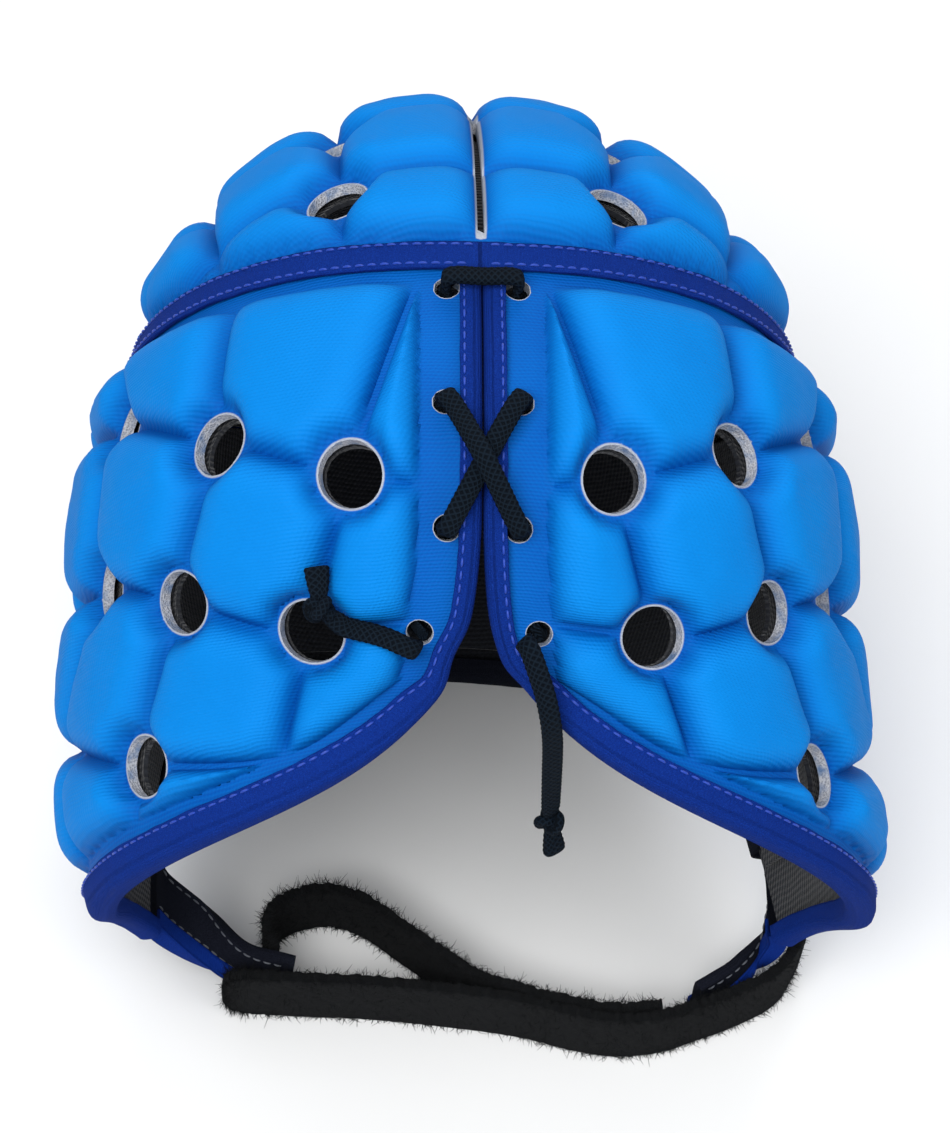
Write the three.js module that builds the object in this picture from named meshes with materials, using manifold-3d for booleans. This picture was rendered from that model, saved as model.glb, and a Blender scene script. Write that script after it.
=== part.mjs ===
// Padded rugby scrum cap, lying face down on its forehead pads and chin strap.
// Head frame: x to the wearer's right, y forward, z up, origin inside the head, millimetres.
// Table frame: the cap rolled forward about x, so that z is up from the table.
import * as THREE from 'three';
import { mergeVertices } from 'three/addons/utils/BufferGeometryUtils.js';
import Module from 'manifold-3d';

const wasm = await Module();
wasm.setup();

// Inner form of the cap, where the lined foam meets the head
const halfWidth = 90;
const backLength = 106;
const frontLength = 114;
const crownHeight = 120;
const lowerDepth = 260;
const planPower = 2.2;
const heightPower = 2.13;
const napeTuck = 0.42;
const earFlare = 0.22;
const sideLean = 4;
const leanDepth = 70;

// How the cap lies
const faceDownTilt = 72;
const headHeight = 104.5;
const originShift = { x: -2.8, y: -18.2 };

// Foam, fabric and trim
const pressedFoam = 2.6;
const padRise = 7.4;
const padShoulder = 9;
const grooveHalf = 0.8;
const liningThickness = 1.1;
const clearance = 0.3;
const ventDiameter = 14;
const earVentDiameter = 26;
const ventLip = 1.6;
const ventShoulder = 5;
const eyeletDiameter = 5.6;
const slitWidth = 1.6;
const seamGap = 0.3;
const bandSeam = 1.1;

// Tapes
const bandWidth = 8;
const tapeThickness = 1.2;
const tapeLeg = 5.6;
const lacingLeg = 3.4;
const padToTape = 2.8;
const padToBand = 2.4;
const marginSlack = 1.2;
const bandLift = 0.2;
const chordAllowance = 1.6;
const legLift = 0.7;

// Straps and laces
const strapWidth = 20;
const strapThickness = 3;
const innerStrapThickness = 2.6;
const tabThickness = 3.2;
const laceDiameter = 3.2;
const laceSides = 8;
const knotDiameter = 7.5;

// Seam band: elevation of its middle at the back and at the front
const bandBack = 24.5;
const bandFront = 44;

// Neck edge: elevation at the nape, level further round, and rise under the ear flap
const napeElevation = -28;
const neckElevation = -42;
const napeSpread = 12;
const flapRise = 4;
const flapStart = 85;
const flapRun = 35;

// Lattice of pads on one side panel. A row is one line across the panel from the lacing edge
// to the front edge: az is the azimuth from the back and el the elevation, in degrees, at each
// of the seven column lines. The top line follows the seam band and the last one the neck edge.
const sideLines = [
  { line: 'under the band', az: [0, 7, 32, 55, 76, 100, 138], el: null, nape: 0 },
  { line: 'upper vents', az: [0, 15.5, 33, 55.5, 80, 106, 138], el: [-6, -3.5, 3, 13, 19, 22, 20], nape: 0 },
  { line: 'lower vents', az: [0, 24, 42.5, 60, 86, 110, 138], el: [-21, -21.5, -15, -9, -6, -2, -1], nape: 0.3 },
  { line: 'over the neck', az: [0, 32, 56, 78, 98, 114, 127], el: [-26, -36.5, -33, -27, -22, -20, -20], nape: 0.8 },
  { line: 'neck edge', az: [0, 34, 62, 82, 98, 112, 121], el: null, nape: 1 },
];
const napeOpening = { left: 6, right: 3 };

// Vents of a side panel, at crossings of the lattice
const sideVents = [
  { column: 1, row: 1 }, { column: 2, row: 1 }, { column: 3, row: 1 },
  { column: 1, row: 2 }, { column: 2, row: 2 }, { column: 3, row: 2 }, { column: 4, row: 2, ear: true },
  { column: 2, row: 3 },
];
const eyelets = [
  { el: 20, inset: 6.4 }, { el: 4.5, inset: 6.4 }, { el: -9.8, inset: 6.4 }, { el: -22.6, inset: 10.6 },
];

// Forehead panel, between the two side panels
const foreheadLines = [
  { line: 'under the band', az: [138, 159, 180, 201, 222], el: null },
  { line: 'between the pads', az: [138, 159, 180, 201, 222], el: [20, 23.5, 25, 23.5, 20] },
  { line: 'forehead rim', az: [138, 159, 180, 201, 222], el: [-1, 5.5, 8, 5.5, -1] },
];
const foreheadVents = [{ column: 1, row: 1 }, { column: 3, row: 1 }];

// Crown panel: its pads lie on lines turned round the ear axis, and on lines across them
const crownTurns = [12, 40, 58, 76, 94, 112, 152];
const crownTilts = [-66, -49, -33, -16, 0, 16, 33, 49, 66];
const crownVents = [
  { tilt: 16.5, turn: 38.5 }, { tilt: 15.5, turn: 56 },
];
const slitStart = 28;
const slitEnd = 61;

// Outer chin strap, standing on its edge: table frame, x and y of its middle, z of its edges
const strapSections = [
  { x: -60.5, y: -60.4, low: 6, high: 14 },
  { x: -58.5, y: -60.6, low: 2, high: 18 },
  { x: -54, y: -61, low: 0, high: 20 },
  { x: -40, y: -61.8, low: 0, high: 20 },
  { x: -23, y: -62.4, low: 0, high: 20 },
  { x: -5, y: -64, low: 0, high: 20 },
  { x: 20, y: -67.5, low: 0, high: 20 },
  { x: 34, y: -71.2, low: 0, high: 20 },
  { x: 46, y: -73, low: 0, high: 20 },
  { x: 58, y: -71.6, low: 0, high: 20 },
  { x: 68, y: -68, low: 0, high: 20 },
  { x: 78, y: -64, low: 0, high: 20 },
  { x: 90, y: -57, low: 0, high: 20 },
  { x: 97, y: -46, low: 0, high: 20 },
];

// Inner strap: from inside the left tab, over its arch and along the outer strap
const innerStrapSections = [
  { x: -46.6, y: -52.2 }, { x: -49, y: -46 }, { x: -47.6, y: -40 }, { x: -42, y: -36 }, { x: -32, y: -34 },
  { x: -23, y: -37 }, { x: -13, y: -44.5 }, { x: -2, y: -53 }, { x: 8, y: -60 }, { x: 20, y: -64.3 },
  { x: 34, y: -68 }, { x: 46, y: -69.8 }, { x: 57, y: -68.6 },
];

// Tabs of the side panels: near edge towards the neck, far edge towards the face
const leftTab = [
  { near: [-79, -53.6, 32.2], far: [-80, -32, 33.4] },
  { near: [-75.5, -54, 26], far: [-77, -35, 27] },
  { near: [-64, -56, 15], far: [-66, -42, 24] },
  { near: [-53, -57, 9], far: [-54, -54, 22] },
  { near: [-43, -57.4, 3], far: [-41, -57, 20] },
];
const rightTab = [
  { near: [87, -53.6, 32.2], far: [87, -32, 33.4] },
  { near: [88, -54, 27], far: [89, -37, 27] },
  { near: [84.5, -55.5, 19], far: [86, -47, 23] },
  { near: [76, -60, 12], far: [77, -57, 21] },
  { near: [66.5, -64, 7], far: [67, -63.6, 20] },
];

// Free lace ends: head frame, points chosen by hand from the eyelet to the knot
const leftEndRoute = [
  [-13.6, -90.2, -42.4], [-14.4, -91.6, -42.8], [-16.6, -92.9, -42.3], [-19.2, -93.2, -41.2], [-21.8, -93.0, -40.2],
  [-24.4, -92.6, -39.4], [-27, -92.3, -38.7], [-29.4, -92.9, -38.2], [-31.4, -94.3, -37.2],
];
const rightEndRoute = [
  [9.6, -93, -41], [10.6, -94.2, -43], [11.8, -93.6, -46], [13, -92.2, -49], [14.2, -90.4, -52], [15.2, -88, -55],
  [16, -84.8, -57.6], [16.6, -80.6, -59.4], [17, -75.6, -61.2], [17.3, -70.4, -63], [17.6, -65, -64.8],
  [17.9, -59.6, -66.6], [18.2, -54.2, -68.4],
];

const degree = Math.PI / 180;
const bandColour = 0x14209a;
const fabricColour = 0x0a92ea;

function material(color, roughness) {
  return new THREE.MeshStandardMaterial({ color, roughness, metalness: 0 });
}
const fabric = material(fabricColour, 0.75);
const tape = material(bandColour, 0.9);
const liningCloth = material(0x0c0f14, 0.8);
const strapCloth = material(0x101417, 0.95);
const laceCord = material(0x04141c, 0.85);

// Direction from the head's middle, by azimuth from the back and elevation
function direction(az, el) {
  const a = az * degree;
  const e = el * degree;
  return new THREE.Vector3(Math.cos(e) * Math.sin(a), -Math.cos(e) * Math.cos(a), Math.sin(e));
}

// Direction by tilt towards an ear and turn from the back over the crown
function crownDirection(tilt, turn) {
  const p = tilt * degree;
  const t = turn * degree;
  return new THREE.Vector3(Math.sin(p), -Math.cos(p) * Math.cos(t), Math.cos(p) * Math.sin(t));
}

// Distance of the inner form along a direction: a superellipsoid, tucked in at the nape and
// flared beside the ears
function formRadius(d) {
  const length = d.y < 0 ? backLength : frontLength;
  const height = d.z > 0 ? crownHeight : lowerDepth;
  const plan = (Math.abs(d.x / halfWidth) ** planPower + Math.abs(d.y / length) ** planPower) ** (1 / planPower);
  const radius = (plan ** heightPower + Math.abs(d.z / height) ** heightPower) ** (-1 / heightPower);
  const low = Math.max(0, -d.z);
  const back = Math.max(0, -d.y);
  return radius * (1 - 2 * napeTuck * low ** 1.5 * back ** 2) * (1 + earFlare * low ** 2 * d.x ** 2);
}

// Outward normal of the inner form, from its level function
function formNormal(d) {
  const p = d.clone().multiplyScalar(formRadius(d));
  const step = 0.05;
  const level = (q) => q.length() - formRadius(q.clone().normalize());
  const slope = (axis) => {
    const ahead = p.clone();
    const behind = p.clone();
    ahead[axis] += step;
    behind[axis] -= step;
    return level(ahead) - level(behind);
  };
  return new THREE.Vector3(slope('x'), slope('y'), slope('z')).normalize();
}

// Point at a height over the inner form, with the lower part leaning sideways
function formPoint(d, height) {
  const p = d.clone().multiplyScalar(formRadius(d)).addScaledVector(formNormal(d), height);
  const low = Math.max(0, -p.z) / leanDepth;
  p.x += sideLean * low * low;
  return p;
}

function bandElevation(az) {
  return bandBack + (bandFront - bandBack) * (1 - Math.cos(az * degree)) / 2;
}

function smoothStep(x) {
  const u = Math.min(1, Math.max(0, x));
  return u * u * (3 - 2 * u);
}

function neckEdgeElevation(az) {
  const drop = (neckElevation - napeElevation) * (1 - Math.exp(-(az - 5) / napeSpread));
  return napeElevation + Math.min(0, drop) + flapRise * smoothStep((az - flapStart) / flapRun);
}

// Smooth curve through values at whole parameters, without overshoot
function throughValues(values, u) {
  const last = values.length - 1;
  const i = Math.min(last - 1, Math.max(0, Math.floor(u)));
  const f = u - i;
  const slope = (k) => values[k + 1] - values[k];
  const tangent = (k) => {
    if (k === 0) return slope(0);
    if (k === last) return slope(last - 1);
    const before = slope(k - 1);
    const after = slope(k);
    return before * after <= 0 ? 0 : 2 * before * after / (before + after);
  };
  const f2 = f * f;
  const f3 = f2 * f;
  return (2 * f3 - 3 * f2 + 1) * values[i] + (f3 - 2 * f2 + f) * tangent(i)
    + (3 * f2 - 2 * f3) * values[i + 1] + (f3 - f2) * tangent(i + 1);
}

// Angle that a length in millimetres takes up on the inner form at the back
function angleOf(length) {
  return length / backLength / degree;
}

const lacingAzimuth = angleOf(tapeThickness + clearance + seamGap / 2);

// Lattice of one panel: from column s and row t to a direction
function makeLattice(lines, { side = 1, opening = 0, lastEdge = null }) {
  const rows = lines.map(({ az, el, nape = 0 }, k) => ({
    az: az.map((value, j) => (j === 0 && lastEdge ? lacingAzimuth + nape * opening : value)),
    el,
    top: k === 0,
  }));
  const columns = lines[0].az.length - 1;
  const seam = angleOf(bandSeam);
  const angles = (s, t) => {
    const az = rows.map((row) => throughValues(row.az, s));
    const el = rows.map((row, k) => {
      if (row.el) return throughValues(row.el, s);
      return row.top ? bandElevation(az[k]) - seam : lastEdge(az[k]);
    });
    return [throughValues(az, t), throughValues(el, t)];
  };
  const at = (s, t) => {
    const [az, el] = angles(s, t);
    return direction(side * az, el);
  };
  return { at, angles, columns, rows: lines.length - 1 };
}

const panels = {
  left: makeLattice(sideLines, { side: -1, opening: napeOpening.left, lastEdge: neckEdgeElevation }),
  right: makeLattice(sideLines, { side: 1, opening: napeOpening.right, lastEdge: neckEdgeElevation }),
  forehead: makeLattice(foreheadLines, {}),
};

function shoulderProfile(distance, radius) {
  const u = Math.min(1, Math.max(0, distance / radius));
  return Math.sqrt(1 - (1 - u) ** 2);
}

// Height of the padding at (s, t): a rounded block in each cell, with flat margins at the
// panel's edges and flat lips round its vents. An edge that crosses the cells adds its own share.
function latticePadding(lattice, margins, vents, crossingEdge = () => 1) {
  return (s, t) => {
    const j = Math.min(lattice.columns - 1, Math.floor(s));
    const k = Math.min(lattice.rows - 1, Math.floor(t));
    const p = formPoint(lattice.at(s, t), 0);
    const reach = (s1, t1) => p.distanceTo(formPoint(lattice.at(s1, t1), 0));
    const sides = [
      reach(j, t) - Math.max(grooveHalf, j === 0 ? margins.start + marginSlack : 0),
      reach(j + 1, t) - Math.max(grooveHalf, j === lattice.columns - 1 ? margins.end + marginSlack : 0),
      reach(s, k) - Math.max(grooveHalf, k === 0 ? margins.top + marginSlack : 0),
      reach(s, k + 1) - Math.max(grooveHalf, k === lattice.rows - 1 ? margins.bottom + marginSlack : 0),
    ];
    const across = shoulderProfile(Math.min(sides[0], sides[1]), padShoulder);
    const along = shoulderProfile(Math.min(sides[2], sides[3]), padShoulder);
    const lips = vents.map((vent) => shoulderProfile(p.distanceTo(vent.centre) - vent.radius - ventLip, ventShoulder));
    return pressedFoam + padRise * across * along * crossingEdge(p) * Math.min(1, ...lips);
  };
}

function toManifold(geometry) {
  const plain = geometry.clone();
  plain.deleteAttribute('normal');
  plain.deleteAttribute('uv');
  const merged = mergeVertices(plain, 1e-4);
  const mesh = new wasm.Mesh({
    numProp: 3,
    vertProperties: new Float32Array(merged.attributes.position.array),
    triVerts: new Uint32Array(merged.index.array),
  });
  return new wasm.Manifold(mesh);
}

function toGeometry(solid) {
  const { vertProperties, triVerts, numProp } = solid.getMesh();
  const positions = new Float32Array(triVerts.length * 3);
  triVerts.forEach((v, i) => {
    for (let c = 0; c < 3; c += 1) positions[3 * i + c] = vertProperties[numProp * v + c];
  });
  const geometry = new THREE.BufferGeometry();
  geometry.setAttribute('position', new THREE.BufferAttribute(positions, 3));
  return geometry;
}

function solidOf(points, faces) {
  const positions = new Float32Array(faces.flat().flatMap((i) => points[i].toArray()));
  const geometry = new THREE.BufferGeometry();
  geometry.setAttribute('position', new THREE.BufferAttribute(positions, 3));
  return toManifold(geometry);
}

// Triangles between two lines of points that run side by side, each with its places along them
function stitch(first, second) {
  const faces = [];
  let i = 0;
  let j = 0;
  while (i < first.length - 1 || j < second.length - 1) {
    const stepFirst = j === second.length - 1
      || (i < first.length - 1 && first[i + 1].place <= second[j + 1].place);
    if (stepFirst) {
      faces.push([first[i].point, first[i + 1].point, second[j].point]);
      i += 1;
    } else {
      faces.push([first[i].point, second[j + 1].point, second[j].point]);
      j += 1;
    }
  }
  return faces;
}

// Closed solid between two grids of points, which may have different lines, walls included.
// A grid has its points[i][j] and the places of its lines across and down.
function blockBetween(outer, inner) {
  const points = [...outer.points.flat(), ...inner.points.flat()];
  const layers = [
    { grid: outer, base: 0, turned: false },
    { grid: inner, base: outer.points.flat().length, turned: true },
  ];
  const faces = [];
  const edges = layers.map(({ grid, base, turned }) => {
    const m = grid.points.length;
    const n = grid.points[0].length;
    const at = (i, j) => base + i * n + j;
    for (let i = 0; i < m - 1; i += 1) {
      for (let j = 0; j < n - 1; j += 1) {
        const corners = [at(i, j), at(i + 1, j), at(i + 1, j + 1), at(i, j + 1)];
        const [a, b, c, d] = turned ? corners.reverse() : corners;
        faces.push([a, b, c], [a, c, d]);
      }
    }
    return [
      grid.across.map((place, i) => ({ place, point: at(i, n - 1) })),
      grid.down.map((place, j) => ({ place, point: at(0, j) })),
      grid.across.map((place, i) => ({ place, point: at(i, 0) })),
      grid.down.map((place, j) => ({ place, point: at(m - 1, j) })),
    ];
  });
  edges[0].forEach((line, k) => {
    const wall = stitch(line, edges[1][k]);
    faces.push(...(k < 2 ? wall : wall.map(([a, b, c]) => [a, c, b])));
  });
  const solid = solidOf(points, faces);
  return solid.volume() > 0 ? solid : solidOf(points, faces.map(([a, b, c]) => [a, c, b]));
}

// Solid swept along stations: each station is the ring of points of one section
function sweep(sections, closed = false) {
  const n = sections[0].length;
  const points = sections.flat();
  const faces = [];
  const count = sections.length;
  const steps = closed ? count : count - 1;
  for (let i = 0; i < steps; i += 1) {
    for (let j = 0; j < n; j += 1) {
      const a = i * n + j;
      const b = i * n + (j + 1) % n;
      const c = ((i + 1) % count) * n + j;
      const d = ((i + 1) % count) * n + (j + 1) % n;
      faces.push([a, b, d], [a, d, c]);
    }
  }
  if (!closed) {
    const contour = THREE.ShapeUtils.triangulateShape(sectionOutline(sections[0]), []);
    const last = (count - 1) * n;
    for (const [a, b, c] of contour) {
      faces.push([c, b, a], [last + a, last + b, last + c]);
    }
  }
  const solid = solidOf(points, faces);
  return solid.volume() > 0 ? solid : solidOf(points, faces.map(([a, b, c]) => [a, c, b]));
}

// Section points laid out flat in their own plane, for closing the ends
function sectionOutline(section) {
  const origin = section[0];
  const u = new THREE.Vector3();
  const normal = new THREE.Vector3();
  section.forEach((p, i) => {
    const q = section[(i + 1) % section.length];
    normal.add(new THREE.Vector3().subVectors(p, origin).cross(new THREE.Vector3().subVectors(q, origin)));
  });
  normal.normalize();
  u.subVectors(section[1], origin).normalize();
  const v = new THREE.Vector3().crossVectors(normal, u);
  return section.map((p) => {
    const w = new THREE.Vector3().subVectors(p, origin);
    return new THREE.Vector2(w.dot(u), w.dot(v));
  });
}

// Round cutter through the wall at a direction
function wallCutter(d, diameter, sides) {
  const geometry = new THREE.CylinderGeometry(diameter / 2, diameter / 2, 44, sides);
  const turn = new THREE.Quaternion().setFromUnitVectors(new THREE.Vector3(0, 1, 0), formNormal(d));
  geometry.applyQuaternion(turn);
  const p = formPoint(d, 0);
  geometry.translate(p.x, p.y, p.z);
  return toManifold(geometry);
}

const ventSides = 8;
const liningVentSides = 6;
const flankRun = 6.5;
const rimInset = 0.04;

// Grid lines that frame the pads: the cell lines, two flanks in each cell, and a flat margin at
// either end. A stop is a cell, the share where its width is measured, a distance from the
// cell's start or end, and the largest share that it may take in a narrow cell.
const marginCap = 0.46;
const flankCap = 0.49;
function padStops(cells, startMargin, endMargin) {
  const stops = [];
  for (let c = 0; c < cells; c += 1) {
    const first = c === 0 ? startMargin : 0;
    const last = c === cells - 1 ? endMargin : 0;
    stops.push({ cell: c, measured: 0, run: 0 });
    if (first) stops.push({ cell: c, measured: 0, run: first, cap: marginCap });
    stops.push({ cell: c, measured: 0.3, run: first + flankRun, cap: flankCap });
    stops.push({ cell: c, measured: 0.7, run: -(last + flankRun), cap: flankCap });
    if (last) stops.push({ cell: c, measured: 1, run: -last, cap: marginCap });
  }
  return [...stops, { cell: cells - 1, measured: 1, run: 0 }];
}

// Place of a stop, from the width of its cell
function stopPlace({ cell, measured, run, cap }, width) {
  if (run === 0) return cell + measured;
  const share = Math.min(cap, Math.abs(run) / width);
  return cell + (run > 0 ? share : 1 - share);
}

// Places of the crossings of two lists of stops, and the lines' own places for stitching
function placesAt(lattice, columnStops, rowStops) {
  const across = (c, t) => formPoint(lattice.at(c, t), 0).distanceTo(formPoint(lattice.at(c + 1, t), 0));
  const down = (s, c) => formPoint(lattice.at(s, c), 0).distanceTo(formPoint(lattice.at(s, c + 1), 0));
  const linePlace = ({ cell, measured }) => cell + measured;
  return {
    crossings: columnStops.map((column) => rowStops.map((row) => [
      stopPlace(column, across(column.cell, linePlace(row))),
      stopPlace(row, down(linePlace(column), row.cell)),
    ])),
    across: columnStops.map(linePlace),
    down: rowStops.map(linePlace),
  };
}

function padPlaces(lattice, margins) {
  return placesAt(lattice, padStops(lattice.columns, margins.start, margins.end),
    padStops(lattice.rows, margins.top, margins.bottom));
}

// Plain grid lines: the cell lines with some steps between. Inside margins, the outer cells
// have no steps.
const plainCap = 0.97;
function plainPlaces(lattice, steps, margins = null) {
  const stops = (cells, startMargin, endMargin) => {
    const lines = Array.from({ length: steps * cells }, (_, i) => (
      { cell: Math.floor(i / steps), measured: (i % steps) / steps, run: 0 }));
    const open = lines.filter(({ cell, measured }) => (
      !(startMargin && cell === 0) && !(endMargin && cell === cells - 1 && measured > 0)));
    if (startMargin) open.unshift({ cell: 0, measured: 0, run: startMargin, cap: plainCap });
    const end = endMargin ? { run: -endMargin, cap: plainCap } : { run: 0 };
    return [...open, { cell: cells - 1, measured: 1, ...end }];
  };
  return placesAt(lattice, stops(lattice.columns, margins?.start, margins?.end),
    stops(lattice.rows, margins?.top, margins?.bottom));
}

function gridAt(lattice, { crossings, across, down }, heightAt) {
  const points = crossings.map((column) => column.map(([s, t]) => formPoint(lattice.at(s, t), heightAt(s, t))));
  return { points, across, down };
}

// Frames along an edge: a point of the inner form without its lean, and the way into the panel
function edgeFrames(directions, inwardSign, closed = false) {
  const points = directions.map((d) => d.clone().multiplyScalar(formRadius(d)));
  const count = points.length;
  return directions.map((d, i) => {
    const before = closed ? points[(i + count - 1) % count] : points[Math.max(0, i - 1)];
    const after = closed ? points[(i + 1) % count] : points[Math.min(count - 1, i + 1)];
    const along = new THREE.Vector3().subVectors(after, before).normalize();
    const inward = new THREE.Vector3().crossVectors(formNormal(d), along).normalize().multiplyScalar(inwardSign);
    return { point: points[i], inward };
  });
}

// Profile of distances inward and heights at each station, carried along an edge and curved
// with the form
function sweepProfile(frames, profileAt, closed = false) {
  return sweep(frames.map(({ point, inward }, i) => profileAt(i).map(([distance, height]) => (
    formPoint(point.clone().addScaledVector(inward, distance).normalize(), height)))), closed);
}

// Folded tape over a panel's edge: a channel whose legs lie on the panel and on the lining,
// given by the distance inward from the edge and the height over the inner form
const tapeUnder = pressedFoam + clearance;
const tapeTop = tapeUnder + tapeThickness;
const channelInside = -chordAllowance - clearance;
const channel = (leg) => [
  [leg, tapeUnder + legLift],
  [-clearance, tapeUnder],
  [-clearance, channelInside],
  [leg, channelInside],
  [leg, channelInside - tapeThickness],
  [-clearance - tapeThickness, channelInside - tapeThickness],
  [-clearance - tapeThickness, tapeTop],
  [leg, tapeTop + legLift],
];
const seatHeight = pressedFoam + 3 * padRise;
const seatFloor = pressedFoam + clearance / 3;
// Room that the legs take from the padding and the lining
const roomBehind = -3;
const roomAbove = pressedFoam + 2 * padRise;
const roomBelow = -12;
const roomEdge = -clearance / 3;
const outsideRoom = (leg) => [
  [roomEdge, roomBelow], [roomEdge, seatFloor], [leg + clearance, seatFloor + legLift], [leg + clearance, roomAbove],
  [roomBehind, roomAbove], [roomBehind, roomBelow],
];
const insideRoom = (leg) => [
  [leg + clearance, channelInside + clearance], [leg + clearance, roomBelow], [roomBehind, roomBelow],
  [roomBehind, channelInside + clearance],
];
const bandHalf = bandWidth / 2;
const bandUnder = tapeUnder + bandLift;
const bandTop = tapeTop + bandLift;
const bandProfile = [[-bandHalf, bandUnder], [bandHalf, bandUnder], [bandHalf, bandTop], [-bandHalf, bandTop]];
const bandSeatHalf = bandHalf + clearance;
const bandSeatProfile = [
  [-bandSeatHalf, seatFloor], [bandSeatHalf, seatFloor], [bandSeatHalf, seatHeight], [-bandSeatHalf, seatHeight],
];

const tapeMargin = tapeLeg + padToTape;
const bandMargin = bandHalf + padToBand;
const slantAllowance = 1;
const sideMargins = {
  start: tapeMargin + eyeletDiameter / 2,
  end: tapeMargin + slantAllowance,
  top: bandMargin,
  bottom: tapeMargin + slantAllowance,
};
const foreheadMargins = { start: grooveHalf + 1, end: grooveHalf + 1, top: bandMargin, bottom: tapeMargin };
const crownMargins = { start: 0, end: 0, top: 0, bottom: 0 };
const liningSeam = bandSeam + 1;
const liningMargin = tapeLeg + 2;
const liningNeckMargin = tapeLeg + 6.5;
const sidePlaces = {
  left: padPlaces(panels.left, sideMargins).crossings,
  right: padPlaces(panels.right, sideMargins).crossings,
};

// Tape folded over an edge, along the same places as the panel's own edge, and its legs' room
function tapeAlong(lattice, places, side, legAt = () => tapeLeg) {
  const frames = edgeFrames(places.map(([s, t]) => lattice.at(s, t)), side);
  return {
    tape: sweepProfile(frames, (i) => channel(legAt(i))),
    outsideRoom: sweepProfile(frames, (i) => outsideRoom(legAt(i))),
    insideRoom: sweepProfile(frames, (i) => insideRoom(legAt(i))),
  };
}

// Binding of one side panel: narrow down its lacing edge from the seam band, then wider along
// the neck edge
function neckTape(name, side) {
  const lattice = panels[name];
  const places = sidePlaces[name];
  const reach = angleOf(bandHalf + clearance);
  const firstRow = reach / (bandElevation(0) - lattice.angles(0, 1)[1]);
  const lacingPlaces = places[0].slice(2, -1);
  const edge = [[0, firstRow], ...lacingPlaces, ...places.map((column) => column.at(-1))];
  return tapeAlong(lattice, edge, side, (i) => (i <= lacingPlaces.length ? lacingLeg : tapeLeg));
}

// Binding of the cheek edge, below the forehead and above the tab
function faceTape(name, side) {
  const lattice = panels[name];
  const between = sidePlaces[name].at(-1).filter(([, t]) => t > faceTapeStart + 0.02 && t < faceTapeEnd - 0.02);
  return tapeAlong(lattice, [[lattice.columns, faceTapeStart], ...between, [lattice.columns, faceTapeEnd]], -side);
}

// Seam band: flat tape all the way round, over the joint of crown and side panels
const bandStations = 40;
const bandFrames = edgeFrames(Array.from({ length: bandStations }, (_, i) => {
  const az = i * 360 / bandStations;
  return direction(az, bandElevation(az));
}), 1, true);
const bandSeat = sweepProfile(bandFrames, () => bandSeatProfile, true);

const faceTapeStart = 2.06;
const faceTapeEnd = 3.42;
const leftNeckTape = neckTape('left', -1);
const rightNeckTape = neckTape('right', 1);
const leftFaceTape = faceTape('left', -1);
const rightFaceTape = faceTape('right', 1);

// Table plane as a cutter in the head frame
const headTurn = new THREE.Matrix4().makeRotationX(-faceDownTilt * degree).setPosition(0, 0, headHeight);
function tableCutter(level) {
  const geometry = new THREE.BoxGeometry(600, 600, 100);
  geometry.translate(0, 0, level - 50);
  geometry.applyMatrix4(headTurn.clone().invert());
  return toManifold(geometry);
}
const belowTable = tableCutter(0);

function ventList(lattice, vents, diameterOf) {
  return vents.map((vent) => {
    const d = lattice.at(vent.column, vent.row);
    return { d, centre: formPoint(d, 0), radius: diameterOf(vent) / 2 };
  });
}

// Padded panel and its lining, both cut by the same vents and eyelets
function panelPair({ lattice, margins, liningMargins, insideSteps, vents, cutters, tapes = [], crossingEdge }) {
  const padding = latticePadding(lattice, margins, vents, crossingEdge);
  const inside = plainPlaces(lattice, insideSteps);
  const liningPlaces = plainPlaces(lattice, 1, liningMargins);
  const liningGrid = (height) => gridAt(lattice, liningPlaces, () => height);
  let panel = blockBetween(gridAt(lattice, padPlaces(lattice, margins), padding), gridAt(lattice, inside, () => 0));
  let lining = blockBetween(liningGrid(channelInside), liningGrid(channelInside - liningThickness));
  for (const { d, radius } of vents) {
    panel = panel.subtract(wallCutter(d, 2 * radius, ventSides));
    lining = lining.subtract(wallCutter(d, 2 * (radius + clearance), liningVentSides));
  }
  for (const cutter of cutters) {
    panel = panel.subtract(cutter);
    lining = lining.subtract(cutter);
  }
  for (const edge of tapes) {
    panel = panel.subtract(edge.outsideRoom).subtract(edge.insideRoom);
    lining = lining.subtract(edge.insideRoom);
  }
  return { panel, lining };
}

const ventSize = ({ ear }) => (ear ? earVentDiameter : ventDiameter);

// Azimuth of the lacing edge at an elevation
function lacingEdgeAzimuth(lattice, el) {
  let low = 0;
  let high = lattice.rows;
  for (let i = 0; i < 40; i += 1) {
    const t = (low + high) / 2;
    if (lattice.angles(0, t)[1] > el) low = t;
    else high = t;
  }
  return lattice.angles(0, low)[0];
}

function eyeletDirection(side, { el, inset }) {
  const lattice = side < 0 ? panels.left : panels.right;
  return direction(side * (lacingEdgeAzimuth(lattice, el) + angleOf(inset)), el);
}

function sidePair(name, side, tapes) {
  const lattice = panels[name];
  return panelPair({
    lattice,
    margins: sideMargins,
    liningMargins: { start: liningMargin, end: liningMargin, top: liningSeam, bottom: liningNeckMargin },
    insideSteps: 2,
    vents: ventList(lattice, sideVents, ventSize),
    cutters: eyelets.map((eyelet) => wallCutter(eyeletDirection(side, eyelet), eyeletDiameter, 8)),
    tapes,
  });
}

const leftPair = sidePair('left', -1, [leftNeckTape, leftFaceTape]);
const rightPair = sidePair('right', 1, [rightNeckTape, rightFaceTape]);

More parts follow.
